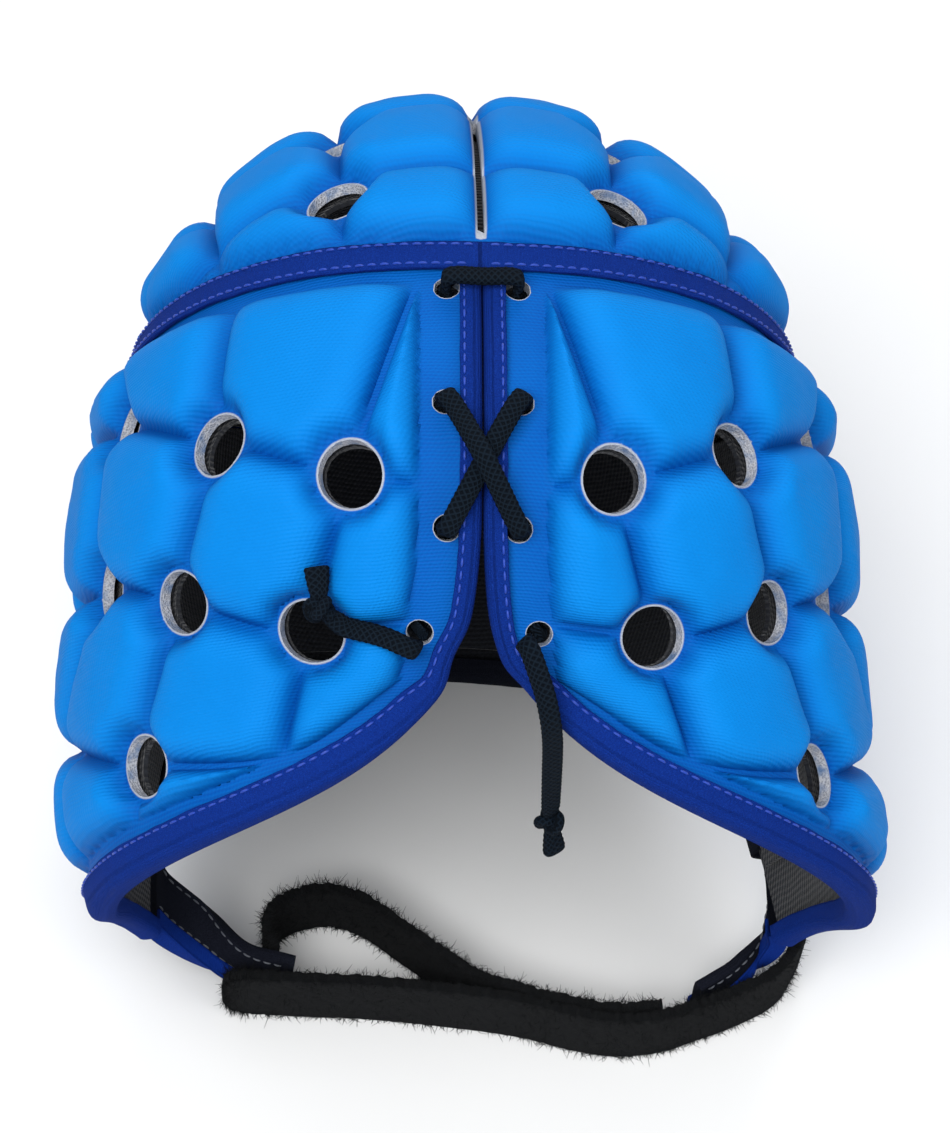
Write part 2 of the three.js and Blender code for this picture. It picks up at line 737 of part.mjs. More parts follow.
const foreheadSeam = angleOf(seamGap);
const foreheadLattice = {
  ...panels.forehead,
  at: (s, t) => {
    const [az, el] = panels.forehead.angles(s, t);
    const inset = foreheadSeam * (1 - 2 * s / panels.forehead.columns);
    return direction(az + inset, el);
  },
};
const rimPlaces = padPlaces(foreheadLattice, foreheadMargins).crossings.map((column) => column.at(-1));
rimPlaces[0][0] = rimInset;
rimPlaces.at(-1)[0] = foreheadLattice.columns - rimInset;
const rimTape = tapeAlong(foreheadLattice, rimPlaces, 1);
const foreheadPair = panelPair({
  lattice: foreheadLattice,
  margins: foreheadMargins,
  liningMargins: { start: liningSeam, end: liningSeam, top: liningSeam, bottom: liningMargin },
  insideSteps: 2,
  vents: ventList(foreheadLattice, foreheadVents, ventSize),
  cutters: [],
  tapes: [rimTape],
});

// Crown panel: its grid overruns the seam band and is trimmed to it by a cone
function crownCone() {
  const seam = angleOf(seamGap / 2);
  const count = bandStations;
  const points = [];
  for (let j = 0; j < count; j += 1) {
    const az = j * 360 / count;
    const d = direction(az, bandElevation(az) + seam);
    points.push(formPoint(d, 26), formPoint(d, -26));
  }
  const top = points.push(new THREE.Vector3(0, 0, 3 * crownHeight)) - 1;
  const bottom = points.push(new THREE.Vector3(0, 0, 0)) - 1;
  const faces = [];
  for (let j = 0; j < count; j += 1) {
    const a = 2 * j;
    const b = 2 * ((j + 1) % count);
    faces.push([a, b, top], [a, a + 1, b + 1], [a, b + 1, b], [b + 1, a + 1, bottom]);
  }
  return solidOf(points, faces);
}

// Value at a place along a list of lines
function alongLines(lines, u) {
  const i = Math.min(lines.length - 2, Math.floor(u));
  return lines[i] + (u - i) * (lines[i + 1] - lines[i]);
}

const crownLattice = {
  columns: crownTilts.length - 1,
  rows: crownTurns.length - 1,
  at: (s, t) => crownDirection(alongLines(crownTilts, s), alongLines(crownTurns, t)),
};

function crownPair() {
  const mirrored = crownVents.flatMap(({ tilt, turn }) => [{ tilt, turn }, { tilt: -tilt, turn }]);
  const vents = mirrored.map(({ tilt, turn }) => {
    const d = crownDirection(tilt, turn);
    return { d, centre: formPoint(d, 0), radius: ventDiameter / 2 };
  });
  const bandEdge = (p) => {
    const az = Math.atan2(p.x, -p.y) / degree;
    const over = Math.asin(p.z / p.length()) / degree - bandElevation(az);
    return shoulderProfile(over * degree * p.length() - bandMargin, padShoulder);
  };
  const slit = new THREE.Shape();
  slit.absarc(0, 0, 60, slitStart * degree, slitEnd * degree, false);
  slit.absarc(0, 0, 160, slitEnd * degree, slitStart * degree, true);
  const slitBody = new THREE.ExtrudeGeometry(slit, { depth: slitWidth, bevelEnabled: false, curveSegments: 4 });
  slitBody.translate(0, 0, -slitWidth / 2);
  slitBody.applyMatrix4(new THREE.Matrix4().makeBasis(
    new THREE.Vector3(0, -1, 0), new THREE.Vector3(0, 0, 1), new THREE.Vector3(-1, 0, 0)));
  const slitCutter = toManifold(slitBody);
  const { panel, lining } = panelPair({
    lattice: crownLattice, margins: crownMargins, insideSteps: 1, vents, cutters: [slitCutter], crossingEdge: bandEdge,
  });
  const cone = crownCone();
  return { panel: panel.intersect(cone).subtract(bandSeat), lining: lining.intersect(cone) };
}
const crown = crownPair();

// Strap standing on edge along a curve in the table frame
function standingStrap(sections, thickness, stepsPerSpan) {
  const curve = new THREE.CatmullRomCurve3(sections.map(({ x, y }) => new THREE.Vector3(x, y, 0)));
  const count = (sections.length - 1) * stepsPerSpan;
  const rings = [];
  for (let i = 0; i <= count; i += 1) {
    const u = i / count;
    const p = curve.getPoint(u);
    const t = curve.getTangent(u);
    const side = new THREE.Vector3(-t.y, t.x, 0).multiplyScalar(thickness / 2);
    const span = Math.min(sections.length - 2, Math.floor(i / stepsPerSpan));
    const f = i / stepsPerSpan - span;
    const mix = (key, whole) => {
      const a = sections[span][key] ?? whole;
      const b = sections[span + 1][key] ?? whole;
      return a + (b - a) * f;
    };
    const low = mix('low', 0);
    const high = mix('high', strapWidth);
    rings.push([
      new THREE.Vector3(p.x + side.x, p.y + side.y, low), new THREE.Vector3(p.x - side.x, p.y - side.y, low),
      new THREE.Vector3(p.x - side.x, p.y - side.y, high), new THREE.Vector3(p.x + side.x, p.y + side.y, high),
    ]);
  }
  return sweep(rings);
}

// Tab as a bent strip between its near and far edges
function tabStrip(sections, stepsPerSpan) {
  const nearCurve = new THREE.CatmullRomCurve3(sections.map(({ near }) => new THREE.Vector3(...near)));
  const farCurve = new THREE.CatmullRomCurve3(sections.map(({ far }) => new THREE.Vector3(...far)));
  const count = (sections.length - 1) * stepsPerSpan;
  const rings = [];
  for (let i = 0; i <= count; i += 1) {
    const u = i / count;
    const near = nearCurve.getPoint(u);
    const far = farCurve.getPoint(u);
    const along = nearCurve.getTangent(u).add(farCurve.getTangent(u)).normalize();
    const across = new THREE.Vector3().subVectors(far, near).normalize();
    const side = new THREE.Vector3().crossVectors(along, across).normalize().multiplyScalar(tabThickness / 2);
    rings.push([near.clone().add(side), near.clone().sub(side), far.clone().sub(side), far.clone().add(side)]);
  }
  return sweep(rings);
}

// Round cord through points
function cordAlong(points, steps, { diameter = laceDiameter, tension = 0.5 } = {}) {
  const path = new THREE.CatmullRomCurve3(points, false, 'catmullrom', tension);
  const outline = new THREE.Shape();
  for (let i = 0; i < laceSides; i += 1) {
    const a = 2 * Math.PI * i / laceSides;
    const x = Math.cos(a) * diameter / 2;
    const y = Math.sin(a) * diameter / 2;
    if (i === 0) outline.moveTo(x, y);
    else outline.lineTo(x, y);
  }
  outline.closePath();
  const geometry = new THREE.ExtrudeGeometry(outline, { steps, extrudePath: path, bevelEnabled: false });
  return toManifold(geometry);
}

const laceOver = tapeTop + legLift + clearance + laceDiameter / 2;
const liningSag = 3.6;
const laceUnder = channelInside - liningThickness - liningSag - clearance - laceDiameter / 2;
const laceCross = laceOver + laceDiameter + clearance;

function eyeletPoint(side, index, height) {
  return formPoint(eyeletDirection(side, eyelets[index]), height);
}

// Laced part: in at the lower left eyelet, up inside, across, over the top bar and back down
function lacing() {
  const between = (a, b, height, share) => {
    const d = a.clone().lerp(b, share).normalize();
    return formPoint(d, height);
  };
  const run = (side, from, to) => {
    const a = eyeletDirection(side, eyelets[from]);
    const b = eyeletDirection(side, eyelets[to]);
    return [
      formPoint(a, laceUnder + 1.2), between(a, b, laceUnder, 0.2), between(a, b, laceUnder, 0.5),
      between(a, b, laceUnder, 0.8), formPoint(b, laceUnder + 1.2),
    ];
  };
  const across = (sideA, a, sideB, b, middle) => {
    const from = eyeletDirection(sideA, eyelets[a]);
    const to = eyeletDirection(sideB, eyelets[b]);
    return [
      formPoint(from, laceOver - 0.6), between(from, to, laceOver + 0.4, 0.16), between(from, to, middle, 0.5),
      between(from, to, laceOver + 0.4, 0.84), formPoint(to, laceOver - 0.6),
    ];
  };
  const points = [
    eyeletPoint(-1, 3, 1.4), ...run(-1, 3, 2), eyeletPoint(-1, 2, 0), ...across(-1, 2, 1, 1, laceOver),
    eyeletPoint(1, 1, 0), ...run(1, 1, 0), eyeletPoint(1, 0, 0), ...across(1, 0, -1, 0, laceOver),
    eyeletPoint(-1, 0, 0), ...run(-1, 0, 1), eyeletPoint(-1, 1, 0), ...across(-1, 1, 1, 2, laceCross),
    eyeletPoint(1, 2, 0), ...run(1, 2, 3), eyeletPoint(1, 3, 1.4),
  ];
  return cordAlong(points, 40, { tension: 0.4 });
}

function freeEnd(route) {
  return cordAlong(route.map((p) => new THREE.Vector3(...p)), route.length + 1);
}

// Knot with its short tail, just beyond the end of a route
function laceKnot(route, tail) {
  const end = new THREE.Vector3(...route.at(-1));
  const before = new THREE.Vector3(...route.at(-2));
  const along = new THREE.Vector3().subVectors(end, before).normalize();
  const centre = end.clone().addScaledVector(along, knotDiameter / 2 + clearance);
  const ball = new THREE.SphereGeometry(knotDiameter / 2, 8, 6);
  ball.translate(centre.x, centre.y, centre.z);
  const tip = centre.clone().add(new THREE.Vector3(...tail));
  const stub = new THREE.CylinderGeometry(2.9, 1.6, tip.distanceTo(centre), 8);
  stub.translate(0, tip.distanceTo(centre) / 2, 0);
  const aim = new THREE.Vector3().subVectors(tip, centre).normalize();
  stub.applyQuaternion(new THREE.Quaternion().setFromUnitVectors(new THREE.Vector3(0, 1, 0), aim));
  stub.translate(centre.x, centre.y, centre.z);
  return toManifold(ball).add(toManifold(stub));
}

const cap = new THREE.Group();
cap.position.set(originShift.x, originShift.y, 0);
const head = new THREE.Group();
head.rotation.x = -faceDownTilt * degree;
head.position.z = headHeight;
const table = new THREE.Group();
cap.add(head, table);

function addPiece(group, name, solid, look) {
  const mesh = new THREE.Mesh(toGeometry(solid), look);
  mesh.name = name;
  group.add(mesh);
}

addPiece(head, 'crown_panel', crown.panel.subtract(belowTable), fabric);
addPiece(head, 'left_panel', leftPair.panel, fabric);
addPiece(head, 'right_panel', rightPair.panel, fabric);
addPiece(head, 'forehead_panel', foreheadPair.panel.subtract(belowTable), fabric);
addPiece(head, 'crown_lining', crown.lining, liningCloth);
addPiece(head, 'left_lining', leftPair.lining, liningCloth);
addPiece(head, 'right_lining', rightPair.lining, liningCloth);
addPiece(head, 'forehead_lining', foreheadPair.lining, liningCloth);
addPiece(head, 'seam_band', sweepProfile(bandFrames, () => bandProfile, true).subtract(belowTable), tape);
addPiece(head, 'left_binding', leftNeckTape.tape, tape);
addPiece(head, 'right_binding', rightNeckTape.tape, tape);
addPiece(head, 'left_face_binding', leftFaceTape.tape, liningCloth);
addPiece(head, 'right_face_binding', rightFaceTape.tape, liningCloth);
addPiece(head, 'forehead_binding', rimTape.tape.subtract(belowTable), liningCloth);
addPiece(table, 'left_tab', tabStrip(leftTab, 2), liningCloth);
addPiece(table, 'right_tab', tabStrip(rightTab, 2), liningCloth);
addPiece(table, 'chin_strap', standingStrap(strapSections, strapThickness, 2), strapCloth);
addPiece(table, 'inner_strap', standingStrap(innerStrapSections, innerStrapThickness, 2), strapCloth);
addPiece(head, 'lace', lacing(), laceCord);
addPiece(head, 'left_lace_end', freeEnd(leftEndRoute), laceCord);
addPiece(head, 'right_lace_end', freeEnd(rightEndRoute), laceCord);
addPiece(head, 'left_lace_knot', laceKnot(leftEndRoute, [-1, -1.6, 9]), laceCord);
addPiece(head, 'right_lace_knot', laceKnot(rightEndRoute, [1.5, 8, -5]), laceCord);

export default cap;
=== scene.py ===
"""Padded rugby scrum cap, laced at the back, lying face down on its forehead rim and chin strap.

Head frame: x to the wearer's right, y forward, z up, millimetres, origin inside the head.
Row frame: the cap rolled forward about x so that z is up from the surface, metres.
"""

import bpy
import numpy as np
from mathutils import Matrix, Vector


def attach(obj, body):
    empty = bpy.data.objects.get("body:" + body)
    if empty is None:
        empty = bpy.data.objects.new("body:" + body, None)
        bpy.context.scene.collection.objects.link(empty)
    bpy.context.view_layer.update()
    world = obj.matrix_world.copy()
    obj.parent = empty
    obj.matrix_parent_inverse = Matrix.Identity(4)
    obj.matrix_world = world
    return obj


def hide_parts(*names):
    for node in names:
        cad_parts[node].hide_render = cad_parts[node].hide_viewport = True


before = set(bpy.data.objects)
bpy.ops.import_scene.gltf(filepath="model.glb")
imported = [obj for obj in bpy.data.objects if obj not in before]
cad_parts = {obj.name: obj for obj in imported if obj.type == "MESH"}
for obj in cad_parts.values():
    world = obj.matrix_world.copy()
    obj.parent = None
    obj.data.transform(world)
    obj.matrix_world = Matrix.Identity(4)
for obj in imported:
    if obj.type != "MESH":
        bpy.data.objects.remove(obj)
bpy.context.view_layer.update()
rng = np.random.default_rng(7)

# Inner form of the cap
HALF_WIDTH, BACK_LENGTH, FRONT_LENGTH = 90, 106, 114
CROWN_HEIGHT, LOWER_DEPTH = 120, 260
PLAN_POWER, HEIGHT_POWER = 2.2, 2.13
NAPE_TUCK, EAR_FLARE = 0.42, 0.22
SIDE_LEAN, LEAN_DEPTH = 4, 70

# How the cap lies
FACE_DOWN = np.radians(72)
HEAD_PLACE = np.array([-2.8, -18.2, 104.5])

# Foam, cloth and trim
PRESSED, PAD_RISE, PAD_SHOULDER = 2.6, 7.4, 9
GROOVE_HALF, PAD_LOSS, DOME_REACH, DOME_RISE = 0.8, 0.5, 22, 0.7
CLEARANCE, TAPE, TAPE_LEG, LACING_LEG = 0.3, 1.2, 5.6, 3.4
CORNER_TAPER, NAPE_EASE, CORNER_EASE = 0.35, (6, 16), (50, 40)
VENT_RADIUS, EAR_RADIUS, EYELET_RADIUS = 7, 13, 2.8
VENT_LIP, VENT_SHOULDER = 1.6, 5
SLIT_HALF, SLIT_REACH, SLIT_TURNS = 0.8, 1.35, (28, 61)
BAND_SEAM, SEAM_GAP, BAND_HALF = 1.1, 0.3, 4
CHORD_ALLOWANCE, LEG_LIFT, BAND_LIFT = 1.6, 0.7, 0.2
LINING = 1.1
LINING_TOP = -CHORD_ALLOWANCE - CLEARANCE
TAPE_UNDER = PRESSED + CLEARANCE
TAPE_TOP = TAPE_UNDER + TAPE
TAPE_MARGIN = TAPE_LEG + 2.8
BAND_MARGIN = BAND_HALF + 2.4
MARGIN_SLACK = 1.2
FAR = 9.0
STRAP_WIDTH, STRAP, INNER_STRAP, TAB = 20, 3, 2.6, 3.2
LACE_WIDTH, LACE_THICK, LACE_ROUND = 4.6, 2.2, 3.2
LACE_SAG, LACE_PLAIT = 3.6, 1.5
KNOT, KNOT_SCALE, STRAND_RADIUS = 7.5, 0.86, 1.35
STITCH_PITCH, STITCH, THREAD_RADIUS, TAB_THREAD_RADIUS = 2.9, 2.1, 0.28, 0.24
FIBRES, FIBRE_LENGTH, FIBRE_RADIUS = 5200, (0.5, 1.9), 0.09

# Grid steps in each cell, and the part of each lattice that its lining covers
SIDE_STEPS, FOREHEAD_STEPS, CROWN_STEPS = 34, 36, 30
LINING_STEPS, CROWN_LINING_STEPS = 16, 12
SIDE_LINING, FOREHEAD_LINING = (0.36, 5.7, 0.08, 3.55), (0.07, 3.93, 0.08, 1.75)
CHEEK_EDGE = (2.06, 3.42)
EDGE_STEP, STRAP_STATIONS, TAB_STATIONS = 0.9, 26, 90
LACE_STEP, BRAID_CORNERS, STRAND_CORNERS, KNOT_STATIONS, KNOT_RUN = 0.5, 24, 12, 120, 40
RIM_INSET, STITCH_INSET, BAND_STITCH_INSET = 0.04, 1, 1.1

# Unevenness, as heights and sizes of ripples
PAD_WAVES, TAPE_WAVES = [(0.22, 16), (0.1, 7)], [(0.14, 11), (0.06, 4)]
PILE_WAVES, TAB_WAVES = [(0.3, 2.2), (0.18, 0.9)], [(0.25, 9)]
EDGE_RAG, FACE_RAG = 2.4, 0.5

# Seam band and neck edge, as elevations
BAND_BACK, BAND_FRONT = 24.5, 44
NAPE_EDGE, NECK_EDGE, NAPE_SPREAD = -28, -42, 12
FLAP_RISE, FLAP_START, FLAP_RUN = 4, 85, 35
NAPE_OPENING = {-1: 6, 1: 3}

# Lines of the panels: azimuth and elevation at each column, and share of the nape opening
SIDE_LINES = [
    # Under the band
    {"az": [0, 7, 32, 55, 76, 100, 138], "el": None, "nape": 0},
    # Upper vents
    {"az": [0, 15.5, 33, 55.5, 80, 106, 138],
     "el": [-6, -3.5, 3, 13, 19, 22, 20], "nape": 0},
    # Lower vents
    {"az": [0, 24, 42.5, 60, 86, 110, 138],
     "el": [-21, -21.5, -15, -9, -6, -2, -1], "nape": 0.3},
    # Over the neck
    {"az": [0, 32, 56, 78, 98, 114, 127],
     "el": [-26, -36.5, -33, -27, -22, -20, -20], "nape": 0.8},
    # Neck edge
    {"az": [0, 34, 62, 82, 98, 112, 121], "el": None, "nape": 1},
]
SIDE_VENTS = [(1, 1), (2, 1), (3, 1), (1, 2), (2, 2), (3, 2), (2, 3)]
EAR_VENT = (4, 2)
EYELETS = [(20, 6.4), (4.5, 6.4), (-9.8, 6.4), (-22.6, 10.6)]
FOREHEAD_AZ = [138, 159, 180, 201, 222]
FOREHEAD_LINES = [
    # Under the band, between the pads and the rim
    {"az": FOREHEAD_AZ, "el": None},
    {"az": FOREHEAD_AZ, "el": [20, 23.5, 25, 23.5, 20]},
    {"az": FOREHEAD_AZ, "el": [-1, 5.5, 8, 5.5, -1]},
]
FOREHEAD_VENTS = [(1, 1), (3, 1)]
CROWN_TURNS = [12, 40, 58, 76, 94, 112, 152]
CROWN_TILTS = [-66, -49, -33, -16, 0, 16, 33, 49, 66]
CROWN_VENTS = [(16.5, 38.5), (15.5, 56), (-16.5, 38.5), (-15.5, 56)]

# Straps, standing on their edge: x, y, low edge, high edge in the surface's frame
STRAP_SECTIONS = np.array([
    (-60.5, -60.4, 6, 14), (-58.5, -60.6, 2, 18), (-54, -61, 0, 20), (-40, -61.8, 0, 20), (-23, -62.4, 0, 20),
    (-5, -64, 0, 20), (20, -67.5, 0, 20), (34, -71.2, 0, 20), (46, -73, 0, 20), (58, -71.6, 0, 20),
    (68, -68, 0, 20), (78, -64, 0, 20), (90, -57, 0, 20), (97, -46, 0, 20),
], float)
INNER_SECTIONS = np.array([(x, y, 0, STRAP_WIDTH) for x, y in (
    (-46.6, -52.2), (-49, -46), (-47.6, -40), (-42, -36), (-32, -34), (-23, -37), (-13, -44.5), (-2, -53),
    (8, -60), (20, -64.3), (34, -68), (46, -69.8), (57, -68.6),
)], float)
LEFT_TAB = np.array([
    [(-79, -53.6, 32.2), (-80, -32, 33.4)], [(-75.5, -54, 26), (-77, -35, 27)],
    [(-64, -56, 15), (-66, -42, 24)], [(-53, -57, 9), (-54, -54, 22)], [(-43, -57.4, 3), (-41, -57, 20)],
], float)
RIGHT_TAB = np.array([
    [(87, -53.6, 32.2), (87, -32, 33.4)], [(88, -54, 27), (89, -37, 27)], [(84.5, -55.5, 19), (86, -47, 23)],
    [(76, -60, 12), (77, -57, 21)], [(66.5, -64, 7), (67, -63.6, 20)],
], float)

# Free lace ends, head frame, from the eyelet to the knot
LEFT_END = np.array([
    (-13.6, -90.2, -42.4), (-14.4, -91.6, -42.8), (-16.6, -92.9, -42.3), (-19.2, -93.2, -41.2),
    (-21.8, -93.0, -40.2), (-24.4, -92.6, -39.4), (-27, -92.3, -38.7), (-29.4, -92.9, -38.2),
    (-31.4, -94.3, -37.2),
], float)
RIGHT_END = np.array([
    (9.6, -93, -41), (10.6, -94.2, -43), (11.8, -93.6, -46), (13, -92.2, -49), (14.2, -90.4, -52),
    (15.2, -88, -55), (16, -84.8, -57.6), (16.6, -80.6, -59.4), (17, -75.6, -61.2), (17.3, -70.4, -63),
    (17.6, -65, -64.8), (17.9, -59.6, -66.6), (18.2, -54.2, -68.4),
], float)


# Frames and the form

def to_row(points):
    """Head frame in millimetres to the row frame in metres: a turn about x, then the head's place."""
    c, s = np.cos(FACE_DOWN), np.sin(FACE_DOWN)
    x, y, z = points[..., 0], points[..., 1], points[..., 2]
    return (np.stack([x, y * c + z * s, z * c - y * s], -1) + HEAD_PLACE) / 1000


def from_surface(points):
    """Surface frame in millimetres to the row frame in metres: the head's place without its height."""
    return (points + HEAD_PLACE * [1, 1, 0]) / 1000


def length_of(v):
    return np.linalg.norm(v, axis=-1)


def unit(v):
    return v / length_of(v)[..., None]


def direction(az, el):
    """Direction by azimuth from the back and elevation, in degrees."""
    a, e = np.radians(az), np.radians(el)
    return np.stack([np.cos(e) * np.sin(a), -np.cos(e) * np.cos(a), np.sin(e)], -1)


def crown_direction(tilt, turn):
    """Direction by tilt towards an ear and turn from the back over the crown, in degrees."""
    p, t = np.radians(tilt), np.radians(turn)
    return np.stack([np.sin(p), -np.cos(p) * np.cos(t), np.cos(p) * np.sin(t)], -1)


def form_radius(d):
    """Distance of the inner form: a superellipsoid, tucked in at the nape and flared at the ears."""
    x, y, z = d[..., 0], d[..., 1], d[..., 2]
    length = np.where(y < 0, BACK_LENGTH, FRONT_LENGTH)
    height = np.where(z > 0, CROWN_HEIGHT, LOWER_DEPTH)
    plan = (abs(x / HALF_WIDTH) ** PLAN_POWER + abs(y / length) ** PLAN_POWER) ** (1 / PLAN_POWER)
    radius = (plan ** HEIGHT_POWER + abs(z / height) ** HEIGHT_POWER) ** (-1 / HEIGHT_POWER)
    low, back = np.maximum(0, -z), np.maximum(0, -y)
    return radius * (1 - 2 * NAPE_TUCK * low ** 1.5 * back ** 2) * (1 + EAR_FLARE * low ** 2 * x ** 2)


def form_normal(d):
    """Outward normal: the slope of distance minus the form's radius, by central differences."""
    p = d * form_radius(d)[..., None]
    slopes = []
    for axis in range(3):
        step = np.zeros(3)
        step[axis] = 0.05
        ends = []
        for q in (p + step, p - step):
            size = length_of(q)
            ends.append(size - form_radius(q / size[..., None]))
        slopes.append(ends[0] - ends[1])
    return unit(np.stack(slopes, -1))


def lean(p):
    """The lower part leans sideways with the square of its depth."""
    shift = SIDE_LEAN * (np.maximum(0, -p[..., 2]) / LEAN_DEPTH) ** 2
    return p + np.stack([shift, 0 * shift, 0 * shift], -1)


def form_point(d, height):
    """Point over the inner form: along the direction, then out by the height, then leaned."""
    height = np.broadcast_to(height, d.shape[:-1])
    return lean(d * form_radius(d)[..., None] + form_normal(d) * height[..., None])


def angle_from_back(p, axis):
    """Angle from the back in degrees: round the head for axis 0, over the crown for axis 2."""
    return np.degrees(np.arctan2(p[..., axis], -p[..., 1]))


def angle_of(length):
    return np.degrees(length / BACK_LENGTH)


def band_elevation(az):
    return BAND_BACK + (BAND_FRONT - BAND_BACK) * (1 - np.cos(np.radians(az))) / 2


def full_turn(count):
    """Angles of a full turn in even steps, in radians."""
    return np.linspace(0, 2 * np.pi, count + 1)[:-1]


def smooth_step(x):
    u = np.clip(x, 0, 1)
    return u * u * (3 - 2 * u)


def neck_edge(az):
    drop = (NECK_EDGE - NAPE_EDGE) * (1 - np.exp(-(az - 5) / NAPE_SPREAD))
    return NAPE_EDGE + np.minimum(0, drop) + FLAP_RISE * smooth_step((az - FLAP_START) / FLAP_RUN)


def through_values(values, u):
    """Smooth curve without overshoot: a cubic through the last axis of values at the places u."""
    last = values.shape[-1] - 1
    slope = np.diff(values, axis=-1)
    before, after = slope[..., :-1], slope[..., 1:]
    same = before * after > 0
    harmonic = np.where(same, 2 * before * after / np.where(same, before + after, 1), 0)
    tangent = np.concatenate([slope[..., :1], harmonic, slope[..., -1:]], -1)
    i = np.clip(np.floor(u).astype(int), 0, last - 1)
    f = u - i

    def pick(table, k):
        full = np.broadcast_to(table, u.shape + table.shape[-1:])
        return np.take_along_axis(full, k[..., None], -1)[..., 0]

    f2, f3 = f * f, f ** 3
    return ((2 * f3 - 3 * f2 + 1) * pick(values, i) + (f3 - 2 * f2 + f) * pick(tangent, i)
            + (3 * f2 - 2 * f3) * pick(values, i + 1) + (f3 - f2) * pick(tangent, i + 1))


LACING_AZ = angle_of(TAPE + CLEARANCE + SEAM_GAP / 2)


class Lattice:
    """Lines of pads across a panel: (s, t) to azimuth and elevation, by a cubic along each line
    and then a cubic across the lines."""

    def __init__(self, lines, side=1, laced=False):
        self.lines, self.side, self.laced = lines, side, laced
        self.columns, self.rows = len(lines[0]["az"]) - 1, len(lines) - 1

    def angles(self, s, t):
        s, t = np.broadcast_arrays(np.asarray(s, float), np.asarray(t, float))
        az, el = [], []
        for k, line in enumerate(self.lines):
            values = np.array(line["az"], float)
            if self.laced:
                values[0] = LACING_AZ + line["nape"] * NAPE_OPENING[self.side]
            az.append(through_values(values, s))
            if line["el"]:
                el.append(through_values(np.array(line["el"], float), s))
            else:
                el.append(band_elevation(az[-1]) - angle_of(BAND_SEAM) if k == 0 else neck_edge(az[-1]))
        return through_values(np.stack(az, -1), t), through_values(np.stack(el, -1), t)

    def at(self, s, t):
        az, el = self.angles(s, t)
        return direction(self.side * az, el)

    def cloth(self, s, t):
        """Place on the cloth in millimetres: round the head and up it."""
        az, el = self.angles(s, t)
        return np.stack([np.radians(az) * BACK_LENGTH, np.radians(el) * BACK_LENGTH], -1)


class CrownLattice:
    """Lines of pads over the crown: straight steps between the tilts and between the turns."""

    def __init__(self):
        self.columns, self.rows = len(CROWN_TILTS) - 1, len(CROWN_TURNS) - 1

    def angles(self, s, t):
        tilt = np.interp(s, np.arange(len(CROWN_TILTS)), CROWN_TILTS)
        return tilt, np.interp(t, np.arange(len(CROWN_TURNS)), CROWN_TURNS)

    def at(self, s, t):
        return crown_direction(*self.angles(s, t))

    def cloth(self, s, t):
        return np.stack([np.radians(a) * BACK_LENGTH for a in self.angles(s, t)], -1)


class ForeheadLattice(Lattice):
    """The forehead panel's lines, drawn in by the seam gap at both ends."""

    def at(self, s, t):
        az, el = self.angles(s, t)
        return direction(az + angle_of(SEAM_GAP) * (1 - 2 * s / self.columns), el)


SIDES = {-1: Lattice(SIDE_LINES, -1, True), 1: Lattice(SIDE_LINES, 1, True)}
FOREHEAD = ForeheadLattice(FOREHEAD_LINES)
CROWN = CrownLattice()


# Meshes

def placed(name, data):
    made = bpy.data.objects.new(name, data)
    bpy.context.scene.collection.objects.link(made)
    return made


def make_mesh(name, vertices, faces, materials, face_material=None, cloth=None, values=(), sharp=50):
    """Mesh from whole arrays: vertices (n, 3) in metres and lists of faces, with an optional cloth
    map in millimetres and further named values for each vertex."""
    mesh = bpy.data.meshes.new(name)
    mesh.from_pydata(vertices, [], [list(map(int, f)) for f in faces])
    corner = np.empty(len(mesh.loops), np.int32)
    mesh.loops.foreach_get("vertex_index", corner)
    if cloth is not None:
        layer = mesh.uv_layers.new(name="cloth")
        layer.data.foreach_set("uv", cloth[corner].astype(np.float32).ravel())
    for label, table in values:
        layer = mesh.attributes.new(label, "FLOAT", "POINT")
        layer.data.foreach_set("value", table.astype(np.float32))
    for m in materials:
        mesh.materials.append(m)
    if face_material is not None:
        mesh.polygons.foreach_set("material_index", np.asarray(face_material, np.int32))
    mesh.polygons.foreach_set("use_smooth", np.ones(len(mesh.polygons), bool))
    mesh.set_sharp_from_angle(angle=np.radians(sharp))
    mesh.update()
    return placed(name, mesh)


def settle(piece, slot, *nodes):
    """The piece rides on the one body and stands for the nodes, which it hides. The slot is not used."""
    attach(piece, "root")
    if nodes:
        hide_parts(*nodes)
    return piece


def shoulder(distance, radius):
    """Quarter of a circle: 0 at the foot, 1 from the radius on."""
    u = np.clip(distance / radius, 0, 1)
    return np.sqrt(1 - (1 - u) ** 2)


def ripple(points, size, count=9):
    """Smooth unevenness between -1 and 1: sine waves of about one size in scattered directions."""
    waves = unit(rng.normal(size=(count, 3))) * rng.uniform(0.7, 1.4, (count, 1)) / size
    phase = rng.uniform(0, 2 * np.pi, count)
    return np.sin(points @ waves.T * 2 * np.pi + phase).sum(-1) / np.sqrt(count) / 2


def uneven(points, waves):
    """Ripples added up, each of a height and a size."""
    return sum(height * ripple(points, size) for height, size in waves)


def cell_distances(lengths, places, steps, cells):
    """Distances to the two lines of a cell along the first axis, from lengths added up along it."""
    start = np.clip(np.floor(places).astype(int), 0, cells - 1)
    at_start = lengths[start * steps]
    at_end = lengths[(start + 1) * steps]
    return lengths - at_start, at_end - lengths, start


def run_lengths(points):
    """Lengths added up along a line of points, or along the first axis of a grid."""
    step = length_of(np.diff(points, axis=0))
    return np.concatenate([np.zeros_like(step[:1]), np.cumsum(step, 0)], 0)


def line_at(points, run, places):
    """Points of a line at the given lengths along it."""
    return np.stack([np.interp(places, run, points[:, k]) for k in range(3)], -1)


